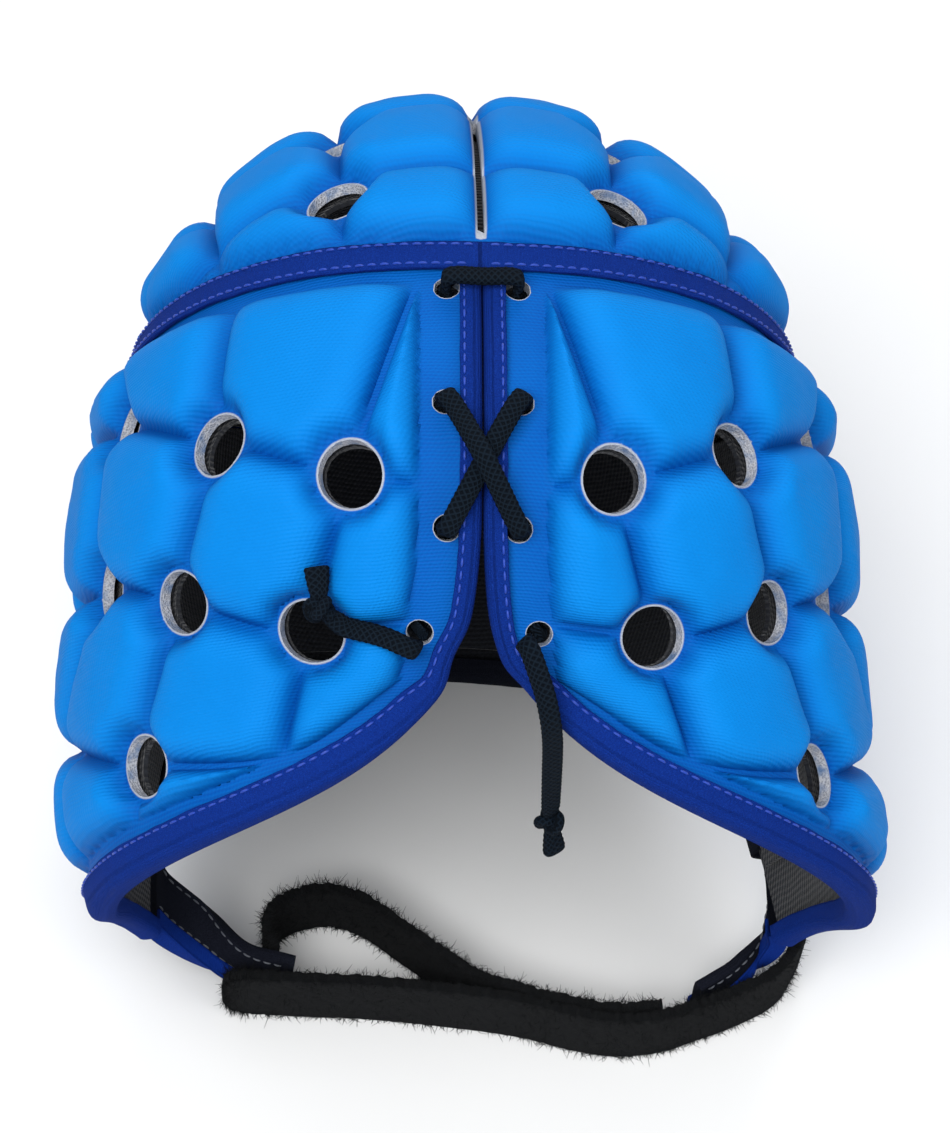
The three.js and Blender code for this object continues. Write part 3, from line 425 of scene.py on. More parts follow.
class Hole:
    """Round hole through a panel, about a direction."""

    def __init__(self, d, radius):
        self.d, self.radius = d, radius
        self.centre = d * form_radius(d)
        self.normal = form_normal(d)

    def offset(self, p):
        v = p - self.centre
        return v - (v @ self.normal)[..., None] * self.normal

    def inside(self, p):
        near = length_of(p - self.centre) < 2 * self.radius
        return near & (length_of(self.offset(p)) < self.radius)

    def snap(self, p):
        v = self.offset(p)
        rho = length_of(v)[..., None]
        return p + v / np.maximum(rho, 1e-6) * (self.radius - rho)

    def gap(self, p):
        """Distance from the edge of the hole, counted faster round a small one."""
        beyond = length_of(self.offset(p)) - self.radius
        near = length_of(p - self.centre) < 3 * self.radius
        return np.where(near, beyond * max(1, VENT_RADIUS / self.radius), FAR)

    def lip_share(self, p):
        gap = length_of(p - self.centre) - self.radius - VENT_LIP
        return shoulder(gap, VENT_SHOULDER)


class Slit:
    """Narrow slit along the middle of the crown."""

    def inside(self, p):
        turn = angle_from_back(p, 2)
        return (abs(p[..., 0]) < SLIT_REACH) & (turn > SLIT_TURNS[0]) & (turn < SLIT_TURNS[1])

    def snap(self, p):
        side = np.where(p[..., :1] < 0, -1, 1)
        return np.concatenate([side * SLIT_HALF, p[..., 1:]], -1)

    def gap(self, p):
        turn = angle_from_back(p, 2)
        beyond = np.radians(np.maximum(SLIT_TURNS[0] - turn, turn - SLIT_TURNS[1])) * BACK_LENGTH
        return np.hypot(np.maximum(0, abs(p[..., 0]) - SLIT_HALF), np.maximum(0, beyond))


class BelowBand:
    """Everything below the seam band's line, for trimming the crown."""

    def __init__(self, extra):
        self.extra = extra

    def edge(self, p):
        az = angle_from_back(p, 0)
        return az, band_elevation(az) + angle_of(self.extra)

    def inside(self, p):
        el = np.degrees(np.arcsin(p[..., 2] / length_of(p)))
        return el < self.edge(p)[1]

    def snap(self, p):
        d = direction(*self.edge(p))
        return d * form_radius(d)[..., None]

    def gap(self, p):
        return np.full(p.shape[:-1], FAR)


def shell(name, lattice, steps, outer, inner, cuts, materials, span=None):
    """Closed shell between two heights on a grid of (s, t), with its cuts taken out: faces whose
    corners all lie in a cut go, and the other corners in it move to its edge."""
    span = span or (0, lattice.columns, 0, lattice.rows)
    s = np.linspace(span[0], span[1], lattice.columns * steps + 1)
    t = np.linspace(span[2], span[3], lattice.rows * steps + 1)
    s, t = np.meshgrid(s, t, indexing="ij")
    d = lattice.at(s, t)
    p = d * form_radius(d)[..., None]
    high = outer(s, t, p) if callable(outer) else np.full(s.shape, float(outer))
    count = s.size
    index = np.arange(count).reshape(s.shape)
    quads = np.stack([index[:-1, :-1], index[1:, :-1], index[1:, 1:], index[:-1, 1:]], -1).reshape(-1, 4)
    flat = p.reshape(-1, 3)
    keep = np.ones(len(quads), bool)
    at_hole = np.zeros(count, bool)
    gap = np.full(count, FAR)
    for cut in cuts:
        inside = cut.inside(flat)
        keep &= ~inside[quads].all(1)
        used = np.zeros(count, bool)
        used[quads[keep].ravel()] = True
        move = inside & used
        flat[move] = cut.snap(flat[move])
        at_hole |= move & (not isinstance(cut, BelowBand))
        gap = np.minimum(gap, cut.gap(flat))
    quads = quads[keep]
    d = unit(flat)
    top = form_point(d, high.ravel())
    bottom = form_point(d, inner)
    a, b, c = (top[quads[:, k]] for k in range(3))
    outward = (np.cross(b - a, c - a) * d[quads[:, 0]]).sum()
    if outward < 0:
        quads = quads[:, ::-1]
    edges = np.concatenate([quads[:, [k, (k + 1) % 4]] for k in range(4)])
    rim = edges[~np.isin(edges @ [count, 1], edges @ [1, count])]
    walls = np.stack([rim[:, 1], rim[:, 0], rim[:, 0] + count, rim[:, 1] + count], -1)
    faces = np.concatenate([quads, quads[:, ::-1] + count, walls])
    cloth = np.tile(lattice.cloth(s, t).reshape(-1, 2), (2, 1))
    rise = np.tile((high.ravel() - PRESSED) / PAD_RISE, 2)
    rise[count:] = 0
    last = len(materials) - 1
    look = np.repeat([0, last], len(quads))
    look = np.concatenate([look, at_hole[rim].all(1) * min(1, last)])
    used, faces = np.unique(faces, return_inverse=True)
    vertices = to_row(np.concatenate([top, bottom]))[used]
    vertices[:, 2] = np.maximum(vertices[:, 2], 0)
    values = (("rise", rise[used]), ("gap", np.tile(gap, 2)[used]))
    return make_mesh(name, vertices, faces.reshape(-1, 4), materials, look, cloth[used], values)


def pad_heights(lattice, steps, margins, holes, edge=None):
    """Height of the padding: a rounded block in each cell, flat margins and flat lips round holes,
    with a slight dome and a slight unevenness."""
    def heights(s, t, p):
        u0, u1, j = cell_distances(run_lengths(p), s[:, 0], steps, lattice.columns)
        turned = np.swapaxes(p, 0, 1)
        v0, v1, k = cell_distances(run_lengths(turned), t[0], steps, lattice.rows)
        v0, v1 = v0.T, v1.T
        j, k = j[:, None], k[None, :]

        def free(distance, at_edge, margin):
            return distance - np.where(at_edge, max(GROOVE_HALF, margin + MARGIN_SLACK), GROOVE_HALF)

        across = np.minimum(free(u0, j == 0, margins[0]), free(u1, j == lattice.columns - 1, margins[1]))
        along = np.minimum(free(v0, k == 0, margins[2]), free(v1, k == lattice.rows - 1, margins[3]))
        block = shoulder(across, PAD_SHOULDER) * shoulder(along, PAD_SHOULDER)
        dome = smooth_step(np.minimum(across, along) / DOME_REACH)
        for hole in holes:
            block = block * hole.lip_share(p)
        if edge is not None:
            block = block * edge(p)
        return PRESSED + block * (PAD_RISE - PAD_LOSS + DOME_RISE * dome + uneven(p, PAD_WAVES))
    return heights


# Shader node groups and materials

class Nodes:
    """Short way to add and join nodes in one tree."""

    def __init__(self, tree):
        self.tree = tree

    def give(self, made, key, value):
        """A number, a colour or another node's output goes into an input."""
        if isinstance(value, bpy.types.NodeSocket):
            self.tree.links.new(value, made.inputs[key])
        else:
            made.inputs[key].default_value = (*value, 1) if isinstance(value, tuple) else value

    def add(self, kind, values=(), **settings):
        made = self.tree.nodes.new(kind)
        for key, value in settings.items():
            setattr(made, key, value)
        for key, value in dict(values).items():
            self.give(made, key, value)
        return made

    def math(self, operation, *values):
        return self.add("ShaderNodeMath", enumerate(values), operation=operation).outputs[0]

    def times(self, a, b):
        return self.math("MULTIPLY", a, b)

    def plus(self, a, b):
        return self.math("ADD", a, b)

    def mix(self, share, a, b):
        return self.add("ShaderNodeMix", {0: share, 6: a, 7: b}, data_type="RGBA").outputs[2]

    def noise(self, place, scale, detail=2.0, rough=0.5):
        values = {"Vector": place, "Scale": scale, "Detail": detail, "Roughness": rough}
        return self.add("ShaderNodeTexNoise", values).outputs["Fac"]

    def span(self, value, low, high):
        values = {"Value": value, "From Min": low, "From Max": high}
        return self.add("ShaderNodeMapRange", values).outputs["Result"]

    def scaled(self, place, scale):
        values = {"Vector": place, "Scale": scale}
        return self.add("ShaderNodeVectorMath", values, operation="SCALE").outputs[0]

    def vertex_value(self, name):
        return self.add("ShaderNodeAttribute", attribute_name=name).outputs["Fac"]

    def cloth_map(self):
        return self.add("ShaderNodeUVMap", uv_map="cloth").outputs["UV"]

    def place(self):
        """Object coordinates in millimetres."""
        return self.scaled(self.add("ShaderNodeTexCoord").outputs["Object"], 1000)

    def group(self, tree, place, **values):
        values = {key.replace("_", " "): value for key, value in values.items()}
        return self.add("ShaderNodeGroup", {"Place": place, **values}, node_tree=tree).outputs


class Finish(Nodes):
    """Material of one principled shader."""

    def __init__(self, name, roughness, sheen=0.0, sheen_roughness=0.4, specular=0.35):
        self.material = bpy.data.materials.new(name)
        self.material.use_nodes = True
        super().__init__(self.material.node_tree)
        self.skin = self.tree.nodes["Principled BSDF"]
        for key, value in (("Roughness", roughness), ("Sheen Weight", sheen),
                           ("Sheen Roughness", sheen_roughness), ("Specular IOR Level", specular)):
            self.give(self.skin, key, value)

    def done(self, colour, height=None, depth=0.0):
        """The material, with its base colour and a bump of a depth in millimetres."""
        self.give(self.skin, "Base Color", colour)
        if height is not None:
            values = {"Height": height, "Distance": depth / 1000, "Strength": 1.0}
            self.give(self.skin, "Normal", self.add("ShaderNodeBump", values).outputs[0])
        return self.material


def new_group(name, inputs):
    """Node group with a place and some numbers going in, and a height and a painted shade that follows it
    coming out.
    """
    tree = bpy.data.node_groups.new(name, "ShaderNodeTree")
    tree.interface.new_socket("Place", in_out="INPUT", socket_type="NodeSocketVector")
    for label, value in inputs.items():
        socket = tree.interface.new_socket(label, in_out="INPUT", socket_type="NodeSocketFloat")
        socket.default_value = value
    for label in ("Height", "Shade"):
        tree.interface.new_socket(label, in_out="OUTPUT", socket_type="NodeSocketFloat")
    n = Nodes(tree)
    return tree, n, n.add("NodeGroupInput").outputs, n.add("NodeGroupOutput")


def knit_group():
    """Knitted cloth on a map in millimetres: ribs across, loops along them, and soft variation."""
    tree, n, given, result = new_group("knitted cloth", {"Rib pitch": 0.75, "Loop pitch": 1.1})
    part = n.add("ShaderNodeSeparateXYZ", {"Vector": given["Place"]}).outputs
    along = n.plus(part["Y"], n.times(n.noise(given["Place"], 0.08), 1.6))
    turns = n.times(n.math("DIVIDE", along, given["Rib pitch"]), 2 * np.pi)
    across = n.times(n.math("DIVIDE", part["X"], given["Loop pitch"]), 2 * np.pi)
    loop = n.math("SINE", n.plus(across, n.times(turns, 0.5)))
    height = n.plus(n.times(n.math("SINE", turns), 0.5), n.times(loop, 0.22))
    height = n.plus(height, n.times(n.noise(given["Place"], 3.2, 3), 0.7))
    n.give(result, "Height", height)
    # Painted shade: lighter on the raised ribs and loops, darker in the hollows between them.
    n.give(result, "Shade", n.span(height, -0.5, 1.2))
    return tree


def fuzz_group():
    """Brushed pile: coarse and fine clumps of fibre."""
    tree, n, given, result = new_group("brushed pile", {"Size": 1.0})
    place = n.scaled(given["Place"], given["Size"])
    fine = n.noise(place, 3.5, 4, 0.75)
    n.give(result, "Height", n.plus(n.times(n.noise(place, 0.7, 4, 0.7), 0.5), fine))
    # Painted shade: lighter on the fine clumps that stand highest, darker between them.
    n.give(result, "Shade", n.span(fine, 0.38, 0.68))
    return tree


KNIT = knit_group()
FUZZ = fuzz_group()


def pad_cloth():
    """Blue ribbed knit over foam, with painted shade: deep in the grooves, brighter on the pads and lighter
    on the knit's raised ribs; paler on the pads' edges, with a narrow ring of bare foam round the holes."""
    n = Finish("blue_knit", 0.7, 0.0, 0.4, 0.06)
    knit = n.group(KNIT, n.cloth_map(), Rib_pitch=0.78, Loop_pitch=1.15)
    rise, gap = n.vertex_value("rise"), n.vertex_value("gap")
    blotch = n.span(n.noise(n.place(), 0.045, 3), 0.35, 0.7)
    edge = n.times(n.span(rise, 0.35, 0.75), n.span(rise, 0.98, 0.8))
    # Painted shade: deep blue in the grooves, brighter blue on the pads' tops, by the pad's rise.
    colour = n.mix(n.span(rise, 0.0, 0.85), (0.0002, 0.058, 0.29), (0.0003, 0.165, 0.5))
    colour = n.mix(n.times(edge, 0.35), colour, (0.003, 0.19, 0.56))
    colour = n.mix(n.times(blotch, 0.25), colour, (0.0003, 0.13, 0.45))
    # The knit's painted shade: lighter on its raised ribs and loops.
    colour = n.mix(n.times(knit["Shade"], 0.25), colour, (0.0005, 0.185, 0.6))
    colour = n.mix(n.span(gap, 0.6, 0.3), colour, (0.34, 0.36, 0.40))
    n.give(n.skin, "Roughness", n.plus(n.times(knit["Shade"], 0.12), 0.6))
    return n.done(colour, knit["Height"], 0.085)


def foam():
    """Pale grey cut foam with fine cells, painted shade in their pits, and blue stains."""
    n = Finish("cut_foam", 0.9)
    place = n.place()
    cells = n.add("ShaderNodeTexVoronoi", {"Vector": place, "Scale": 2.2}).outputs["Distance"]
    # Painted shade in the pores: darker in the pits of the cells, where the bump is low.
    colour = n.mix(n.span(cells, 0.1, 0.7), (0.20, 0.21, 0.24), (0.44, 0.45, 0.48))
    colour = n.mix(n.span(n.noise(place, 0.3, 2), 0.45, 0.75), colour, (0.10, 0.17, 0.30))
    return n.done(colour, cells, 0.25)


def tape_cloth(name, low, high, fleck):
    """Folded tape of short pile over a weave, with flecks."""
    n = Finish(name, 0.9, 0.0, 0.5, 0.05)
    pile = n.group(FUZZ, n.place(), Size=1.3)
    knit = n.group(KNIT, n.cloth_map(), Rib_pitch=0.62, Loop_pitch=0.7)
    flecks = n.span(n.noise(n.place(), 2.4, 3, 0.8), 0.6, 0.72)
    # The pile's painted shade mixes the low and high colours; the flecks are the tape's own.
    colour = n.mix(n.times(flecks, 0.5), n.mix(pile["Shade"], low, high), fleck)
    return n.done(colour, n.plus(pile["Height"], n.times(knit["Height"], 0.5)), 0.22)


def dark_cloth(name, low, high, rib, depth):
    """Thin dark cloth in an open knit."""
    n = Finish(name, 0.8, 0.15, 0.5, 0.25)
    knit = n.group(KNIT, n.cloth_map(), Rib_pitch=rib, Loop_pitch=rib * 1.2)
    wide = n.times(n.noise(n.place(), 0.06, 2), 0.4)
    # The knit's painted shade mixes the low and high colours: darker in the hollows of the knit.
    return n.done(n.mix(wide, n.mix(knit["Shade"], low, high), low), knit["Height"], depth)


def loop_cloth():
    """Black brushed loop tape, with painted light on the tips of its pile and painted shade between them."""
    n = Finish("loop_tape", 0.95, 0.03, 0.6, 0.05)
    pile = n.group(FUZZ, n.place(), Size=1.0)
    # Painted light and shade: paler where the pile's clumps stand high, darker between them.
    colour = n.mix(n.times(pile["Shade"], 0.8), (0.0008, 0.001, 0.0014), (0.007, 0.009, 0.011))
    return n.done(colour, pile["Height"], 0.7)


def braid_cloth():
    """Black braid: two sets of strands crossing on the cloth map."""
    n = Finish("black_braid", 0.85, 0.0, 0.5, 0.08)
    part = n.add("ShaderNodeSeparateXYZ", {"Vector": n.cloth_map()}).outputs
    turns, side = (n.times(part[axis], 2 * np.pi / LACE_PLAIT) for axis in ("X", "Y"))
    strands = n.math("MAXIMUM", *(n.math("SINE", n.math(way, turns, side)) for way in ("ADD", "SUBTRACT")))
    height = n.plus(strands, n.times(n.noise(n.place(), 3, 3), 0.6))
    # Painted shade: darker where the strands' relief is low, between the crossing strands.
    colour = n.mix(n.span(height, 0.0, 1.5), (0.0006, 0.0022, 0.005), (0.004, 0.009, 0.016))
    return n.done(colour, height, 0.22)


def thread_finish(name, colour):
    """Twisted thread, with painted shade in its folds."""
    n = Finish(name, 0.5, 0.1, 0.4, 0.4)
    twist = n.noise(n.place(), 5, 2)
    # Painted shade: down to 0.6 of the colour where the twist's relief is low.
    return n.done(n.mix(twist, tuple(0.6 * c for c in colour), colour), twist, 0.1)


BLUE_KNIT = pad_cloth()
FOAM = foam()
BLUE_TAPE = tape_cloth("blue_tape", (0.002, 0.012, 0.11), (0.005, 0.034, 0.26), (0.016, 0.075, 0.4))
DARK_TAPE = tape_cloth("dark_tape", (0.003, 0.004, 0.008), (0.016, 0.018, 0.028), (0.03, 0.035, 0.05))
LINING_CLOTH = dark_cloth("lining_cloth", (0.003, 0.004, 0.007), (0.014, 0.017, 0.024), 1.3, 0.3)
LOOP_TAPE = loop_cloth()
BRAID = braid_cloth()
BLUE_THREAD = thread_finish("blue_thread", (0.006, 0.05, 0.40))
GREY_THREAD = thread_finish("grey_thread", (0.09, 0.10, 0.12))


# Padded panels and their linings

def vent_holes(lattice, places, radius=VENT_RADIUS):
    return [Hole(lattice.at(float(s), float(t)), radius) for s, t in places]


def eyelet_direction(side, index):
    """Middle of an eyelet: inset from the lacing edge at the eyelet's elevation."""
    el, inset = EYELETS[index]
    lattice = SIDES[side]
    t = np.linspace(0, lattice.rows, 4001)
    az, height = lattice.angles(0 * t, t)
    edge = az[np.argmin(abs(height - el))]
    return direction(side * (edge + angle_of(inset)), el)


def panel(name, node, lattice, steps, margins, holes, cuts, edge=None):
    heights = pad_heights(lattice, steps, margins, holes, edge)
    piece = shell(name, lattice, steps, heights, 0.0, [*cuts, *holes], [BLUE_KNIT, FOAM, LINING_CLOTH])
    settle(piece, "padding", node)


def lining(name, node, lattice, steps, holes, cuts, span):
    piece = shell(name, lattice, steps, LINING_TOP, LINING_TOP - LINING,
                  [*cuts, *(Hole(h.d, h.radius + CLEARANCE) for h in holes)], [LINING_CLOTH], span)
    settle(piece, "lining", node)


def side_panels():
    side_margin = TAPE_MARGIN + 1
    for side, word in ((-1, "left"), (1, "right")):
        lattice = SIDES[side]
        holes = vent_holes(lattice, SIDE_VENTS) + vent_holes(lattice, [EAR_VENT], EAR_RADIUS)
        eyelets = [Hole(eyelet_direction(side, i), EYELET_RADIUS) for i in range(len(EYELETS))]
        margins = (TAPE_MARGIN + EYELET_RADIUS, side_margin, BAND_MARGIN, side_margin)
        panel(f"{word}_padding", f"{word}_panel", lattice, SIDE_STEPS, margins, holes, eyelets)
        lining(f"{word}_inner_cloth", f"{word}_lining", lattice, LINING_STEPS, holes, eyelets, SIDE_LINING)


def forehead():
    holes = vent_holes(FOREHEAD, FOREHEAD_VENTS)
    margins = (GROOVE_HALF + 1, GROOVE_HALF + 1, BAND_MARGIN, TAPE_MARGIN)
    panel("forehead_padding", "forehead_panel", FOREHEAD, FOREHEAD_STEPS, margins, holes, [])
    lining("forehead_inner_cloth", "forehead_lining", FOREHEAD, LINING_STEPS, holes, [], FOREHEAD_LINING)


def crown():
    holes = [Hole(crown_direction(*v), VENT_RADIUS) for v in CROWN_VENTS]

    def edge(p):
        az = angle_from_back(p, 0)
        size = length_of(p)
        over = np.arcsin(p[..., 2] / size) - np.radians(band_elevation(az))
        return shoulder(over * size - BAND_MARGIN, PAD_SHOULDER)

    cuts = [BelowBand(SEAM_GAP / 2), Slit()]
    panel("crown_padding", "crown_panel", CROWN, CROWN_STEPS, (0, 0, 0, 0), holes, cuts, edge)
    lining("crown_inner_cloth", "crown_lining", CROWN, CROWN_LINING_STEPS, holes, cuts, None)


# Tapes

def rounded(points, radius, steps=4):
    """Closed outline with its corners replaced by short curves, of one radius or one for each."""
    points = np.array(points, float)
    radii = np.broadcast_to(radius, len(points))
    out = []
    for i, p in enumerate(points):
        before, after = points[i - 1], points[(i + 1) % len(points)]
        a = p + unit(before - p) * min(radii[i], 0.45 * length_of(before - p))
        b = p + unit(after - p) * min(radii[i], 0.45 * length_of(after - p))
        u = np.linspace(0, 1, steps)[:, None]
        out.append((1 - u) ** 2 * a + 2 * u * (1 - u) * p + u ** 2 * b)
    return np.concatenate(out)


def smoothed(points, width, closed):
    """Running average of a line of points, with its ends kept."""
    kernel = np.hanning(2 * width + 3)[1:-1]
    kernel /= kernel.sum()
    kind = {"mode": "wrap"} if closed else {"mode": "reflect", "reflect_type": "odd"}
    padded = np.pad(points, ((width, width), (0, 0)), **kind)
    return np.stack([np.convolve(padded[:, k], kernel, "valid") for k in range(3)], -1)


def even_line(points, step, closed=False):
    """Points an even step apart along a line."""
    if closed:
        points = np.concatenate([points, points[:1]])
    run = run_lengths(points)
    count = int(run[-1] / step) + 1
    places = np.linspace(0, run[-1], count + 1)
    return line_at(points, run, places[:-1] if closed else places)


class EdgePath:
    """Line along an edge of the inner form, with the way inward at each point."""

    def __init__(self, directions, sign, closed=False, ease=6):
        points = directions * form_radius(directions)[..., None]
        points = even_line(points, EDGE_STEP, closed)
        points = smoothed(points, ease, closed)
        d = unit(points)
        self.points = d * form_radius(d)[..., None]
        if closed:
            along = np.roll(self.points, -1, 0) - np.roll(self.points, 1, 0)
        else:
            along = np.gradient(self.points, axis=0)
        self.inward = unit(np.cross(form_normal(d), unit(along))) * sign
        if not closed:
            self.inward = unit(smoothed(self.inward, ease, False))
        self.closed = closed
        self.run = run_lengths(self.points)

    def place(self, distance, height):
        """Points at a distance inward from the line and a height over the form."""
        distance = np.broadcast_to(distance, self.run.shape)
        d = unit(self.points + self.inward * distance[:, None])
        return form_point(d, height)


def tube_faces(count, rings, corners, closed=False):
    """Faces of a number of tubes in a row: round them, and over their ends unless they are closed."""
    size = rings * corners
    k, i, j = np.meshgrid(np.arange(count) * size, np.arange(rings if closed else rings - 1),
                          np.arange(corners), indexing="ij")
    here, there, after = k + i * corners, k + (i + 1) % rings * corners, (j + 1) % corners
    faces = [*np.stack([here + j, here + after, there + after, there + j], -1).reshape(-1, 4)]
    if not closed:
        faces += [list(c * size + np.arange(corners)[::-1]) for c in range(count)]
        faces += [list((c + 1) * size - corners + np.arange(corners)) for c in range(count)]
    return faces


def rings_about(line, side, lift, x, y):
    """Rings about a line: the places x along one way and y along the other, for all or for each."""
    return line[:, None] + side[:, None] * x[..., None] + lift[:, None] * y[..., None]


def swept(name, rings, run, materials, closed=False, sharp=60, convert=to_row):
    """Closed body through rings of corners, one ring for each station."""
    faces = tube_faces(1, *rings.shape[:2], closed)
    girth = length_of(np.diff(rings[0], axis=0, append=rings[0][:1])).cumsum()
    cloth = np.stack(np.broadcast_arrays(run[:, None], girth[None, :]), -1).reshape(-1, 2)
    centre = rings[:2].mean(1)
    p, q, r = rings[0][0], rings[0][1], rings[1][0]
    if np.dot(np.cross(q - p, r - p), p - centre[0]) < 0:
        faces = [list(f)[::-1] for f in faces]
    vertices = convert(rings.reshape(-1, 3))
    vertices[:, 2] = np.maximum(vertices[:, 2], 0)
    return make_mesh(name, vertices, faces, materials, None, cloth, sharp=sharp)


CHANNEL_IN = LINING_TOP
CHANNEL = rounded([
    (TAPE_LEG, TAPE_UNDER + LEG_LIFT), (-CLEARANCE, TAPE_UNDER), (-CLEARANCE, CHANNEL_IN),
    (TAPE_LEG, CHANNEL_IN), (TAPE_LEG, CHANNEL_IN - TAPE), (-CLEARANCE - TAPE, CHANNEL_IN - TAPE),
    (-CLEARANCE - TAPE, TAPE_TOP), (TAPE_LEG, TAPE_TOP + LEG_LIFT),
], [0.5, 0.6, 0.6, 0.5, 0.5, 2.6, 2.6, 0.5], 6)
FLAT_BAND = rounded([
    (-BAND_HALF, TAPE_UNDER + BAND_LIFT), (BAND_HALF, TAPE_UNDER + BAND_LIFT),
    (BAND_HALF, TAPE_TOP + BAND_LIFT), (-BAND_HALF, TAPE_TOP + BAND_LIFT),
], 0.5)


def tape_piece(name, node, path, profile, material, slot, leg=1.0):
    """Tape with its profile carried along an edge, a little uneven in height and width. The leg
    is the share of the full leg at each station."""
    wave = uneven(path.points, TAPE_WAVES)
    rings = np.stack([path.place(x * (leg if x > 0 else 1) + wave * (x > 1), h + wave * (h > TAPE_UNDER))
                      for x, h in profile], 1)
    return settle(swept(name, rings, path.run, [material], path.closed), slot, node)


def stitches(name, path, distance, height):
    """Row of blue stitches along a tape."""
    line = path.place(distance, height)
    run = run_lengths(line)
    starts = np.arange(2, run[-1] - STITCH - 1, STITCH_PITCH)
    a, b = line_at(line, run, starts), line_at(line, run, starts + STITCH)
    bars(name, a, b, form_normal(unit(a)), THREAD_RADIUS, BLUE_THREAD, "tape")


def bars(name, a, b, up, radius, material, slot, convert=to_row):
    """Rounded bars from a to b: six rings of six points, thin and low at both ends."""
    along = unit(b - a)
    side = unit(np.cross(along, up))
    lift = np.cross(side, along)
    places = np.array([0, 0.12, 0.35, 0.65, 0.88, 1])
    sizes = np.array([0.25, 0.8, 1, 1, 0.8, 0.25]) * radius
    lifts = np.array([-0.5, 0, 0.35, 0.35, 0, -0.5]) * radius
    turn = np.arange(6) * np.pi / 3
    centre = rings_about(a, b - a, lift, places, lifts)
    ring = side[:, None, None] * np.cos(turn)[:, None] + lift[:, None, None] * np.sin(turn)[:, None]
    ring = ring * sizes[:, None, None]
    vertices = convert((centre[:, :, None] + ring).reshape(-1, 3))
    settle(make_mesh(name, vertices, tube_faces(len(a), 6, 6), [material]), slot)


def lattice_edge(lattice, places):
    s, t = np.array(places, float).T
    return lattice.at(s, t)


def bindings():
    for side, word in ((-1, "left"), (1, "right")):
        lattice = SIDES[side]
        first = angle_of(BAND_HALF + CLEARANCE) / (band_elevation(0) - lattice.angles(0, 1)[1])
        down = [(0, t) for t in np.linspace(first, lattice.rows, 160)]
        along = [(s, lattice.rows) for s in np.linspace(0.01, lattice.columns, 300)]
        path = EdgePath(lattice_edge(lattice, down + along), side)
        corner = lattice.at(0.0, float(lattice.rows))
        nape = np.argmin(length_of(path.points - corner * form_radius(corner)))
        share = LACING_LEG / TAPE_LEG
        past_nape = (path.run - path.run[nape] + NAPE_EASE[0]) / NAPE_EASE[1]
        near_corner = (path.run - path.run[-1] + CORNER_EASE[0]) / CORNER_EASE[1]
        leg = share + (1 - share) * smooth_step(past_nape)
        leg = leg * (1 - CORNER_TAPER * smooth_step(near_corner))
        tape_piece(f"{word}_neck_tape", f"{word}_binding", path, CHANNEL, BLUE_TAPE, "tape", leg)
        over = TAPE_TOP + LEG_LIFT * 0.8 + 0.15
        stitches(f"{word}_neck_stitches", path, TAPE_LEG * leg - STITCH_INSET, over)
        cheek = [(lattice.columns, t) for t in np.linspace(*CHEEK_EDGE, 90)]
        path = EdgePath(lattice_edge(lattice, cheek), -side)
        tape_piece(f"{word}_cheek_tape", f"{word}_face_binding", path, CHANNEL, DARK_TAPE, "dark_tape")
    rim = [(s, FOREHEAD.rows) for s in np.linspace(RIM_INSET, FOREHEAD.columns - RIM_INSET, 240)]
    path = EdgePath(lattice_edge(FOREHEAD, rim), 1)
    tape_piece("forehead_tape", "forehead_binding", path, CHANNEL, DARK_TAPE, "dark_tape")


def band():
    az = np.arange(720) / 2
    path = EdgePath(direction(az, band_elevation(az)), 1, closed=True)
    tape_piece("round_band", "seam_band", path, FLAT_BAND, BLUE_TAPE, "tape")
    for word, way in (("upper", -1), ("lower", 1)):
        inset = way * (BAND_HALF - BAND_STITCH_INSET)
        stitches(f"{word}_band_stitches", path, inset, TAPE_TOP + BAND_LIFT + 0.1)


# Curves

def curve_points(points, count, tension=None):
    """Catmull-Rom curve at even parameters: centripetal, or uniform with a tension."""
    points = np.asarray(points, float)
    line = np.concatenate([[2 * points[0] - points[1]], points, [2 * points[-1] - points[-2]]])
    u = np.linspace(0, len(points) - 1, count)
    i = np.minimum(u.astype(int), len(points) - 2)
    f = (u - i)[:, None]
    p0, p1, p2, p3 = (line[i + k] for k in range(4))
    if tension is None:
        gaps = [np.sqrt(length_of(b - a))[:, None] for a, b in ((p0, p1), (p1, p2), (p2, p3))]
        t1 = ((p1 - p0) / gaps[0] - (p2 - p0) / (gaps[0] + gaps[1]) + (p2 - p1) / gaps[1]) * gaps[1]
        t2 = ((p2 - p1) / gaps[1] - (p3 - p1) / (gaps[1] + gaps[2]) + (p3 - p2) / gaps[2]) * gaps[1]
    else:
        t1, t2 = tension * (p2 - p0), tension * (p3 - p1)
    return p1 + t1 * f + (3 * (p2 - p1) - 2 * t1 - t2) * f ** 2 + (2 * (p1 - p2) + t1 + t2) * f ** 3


# Straps and tabs

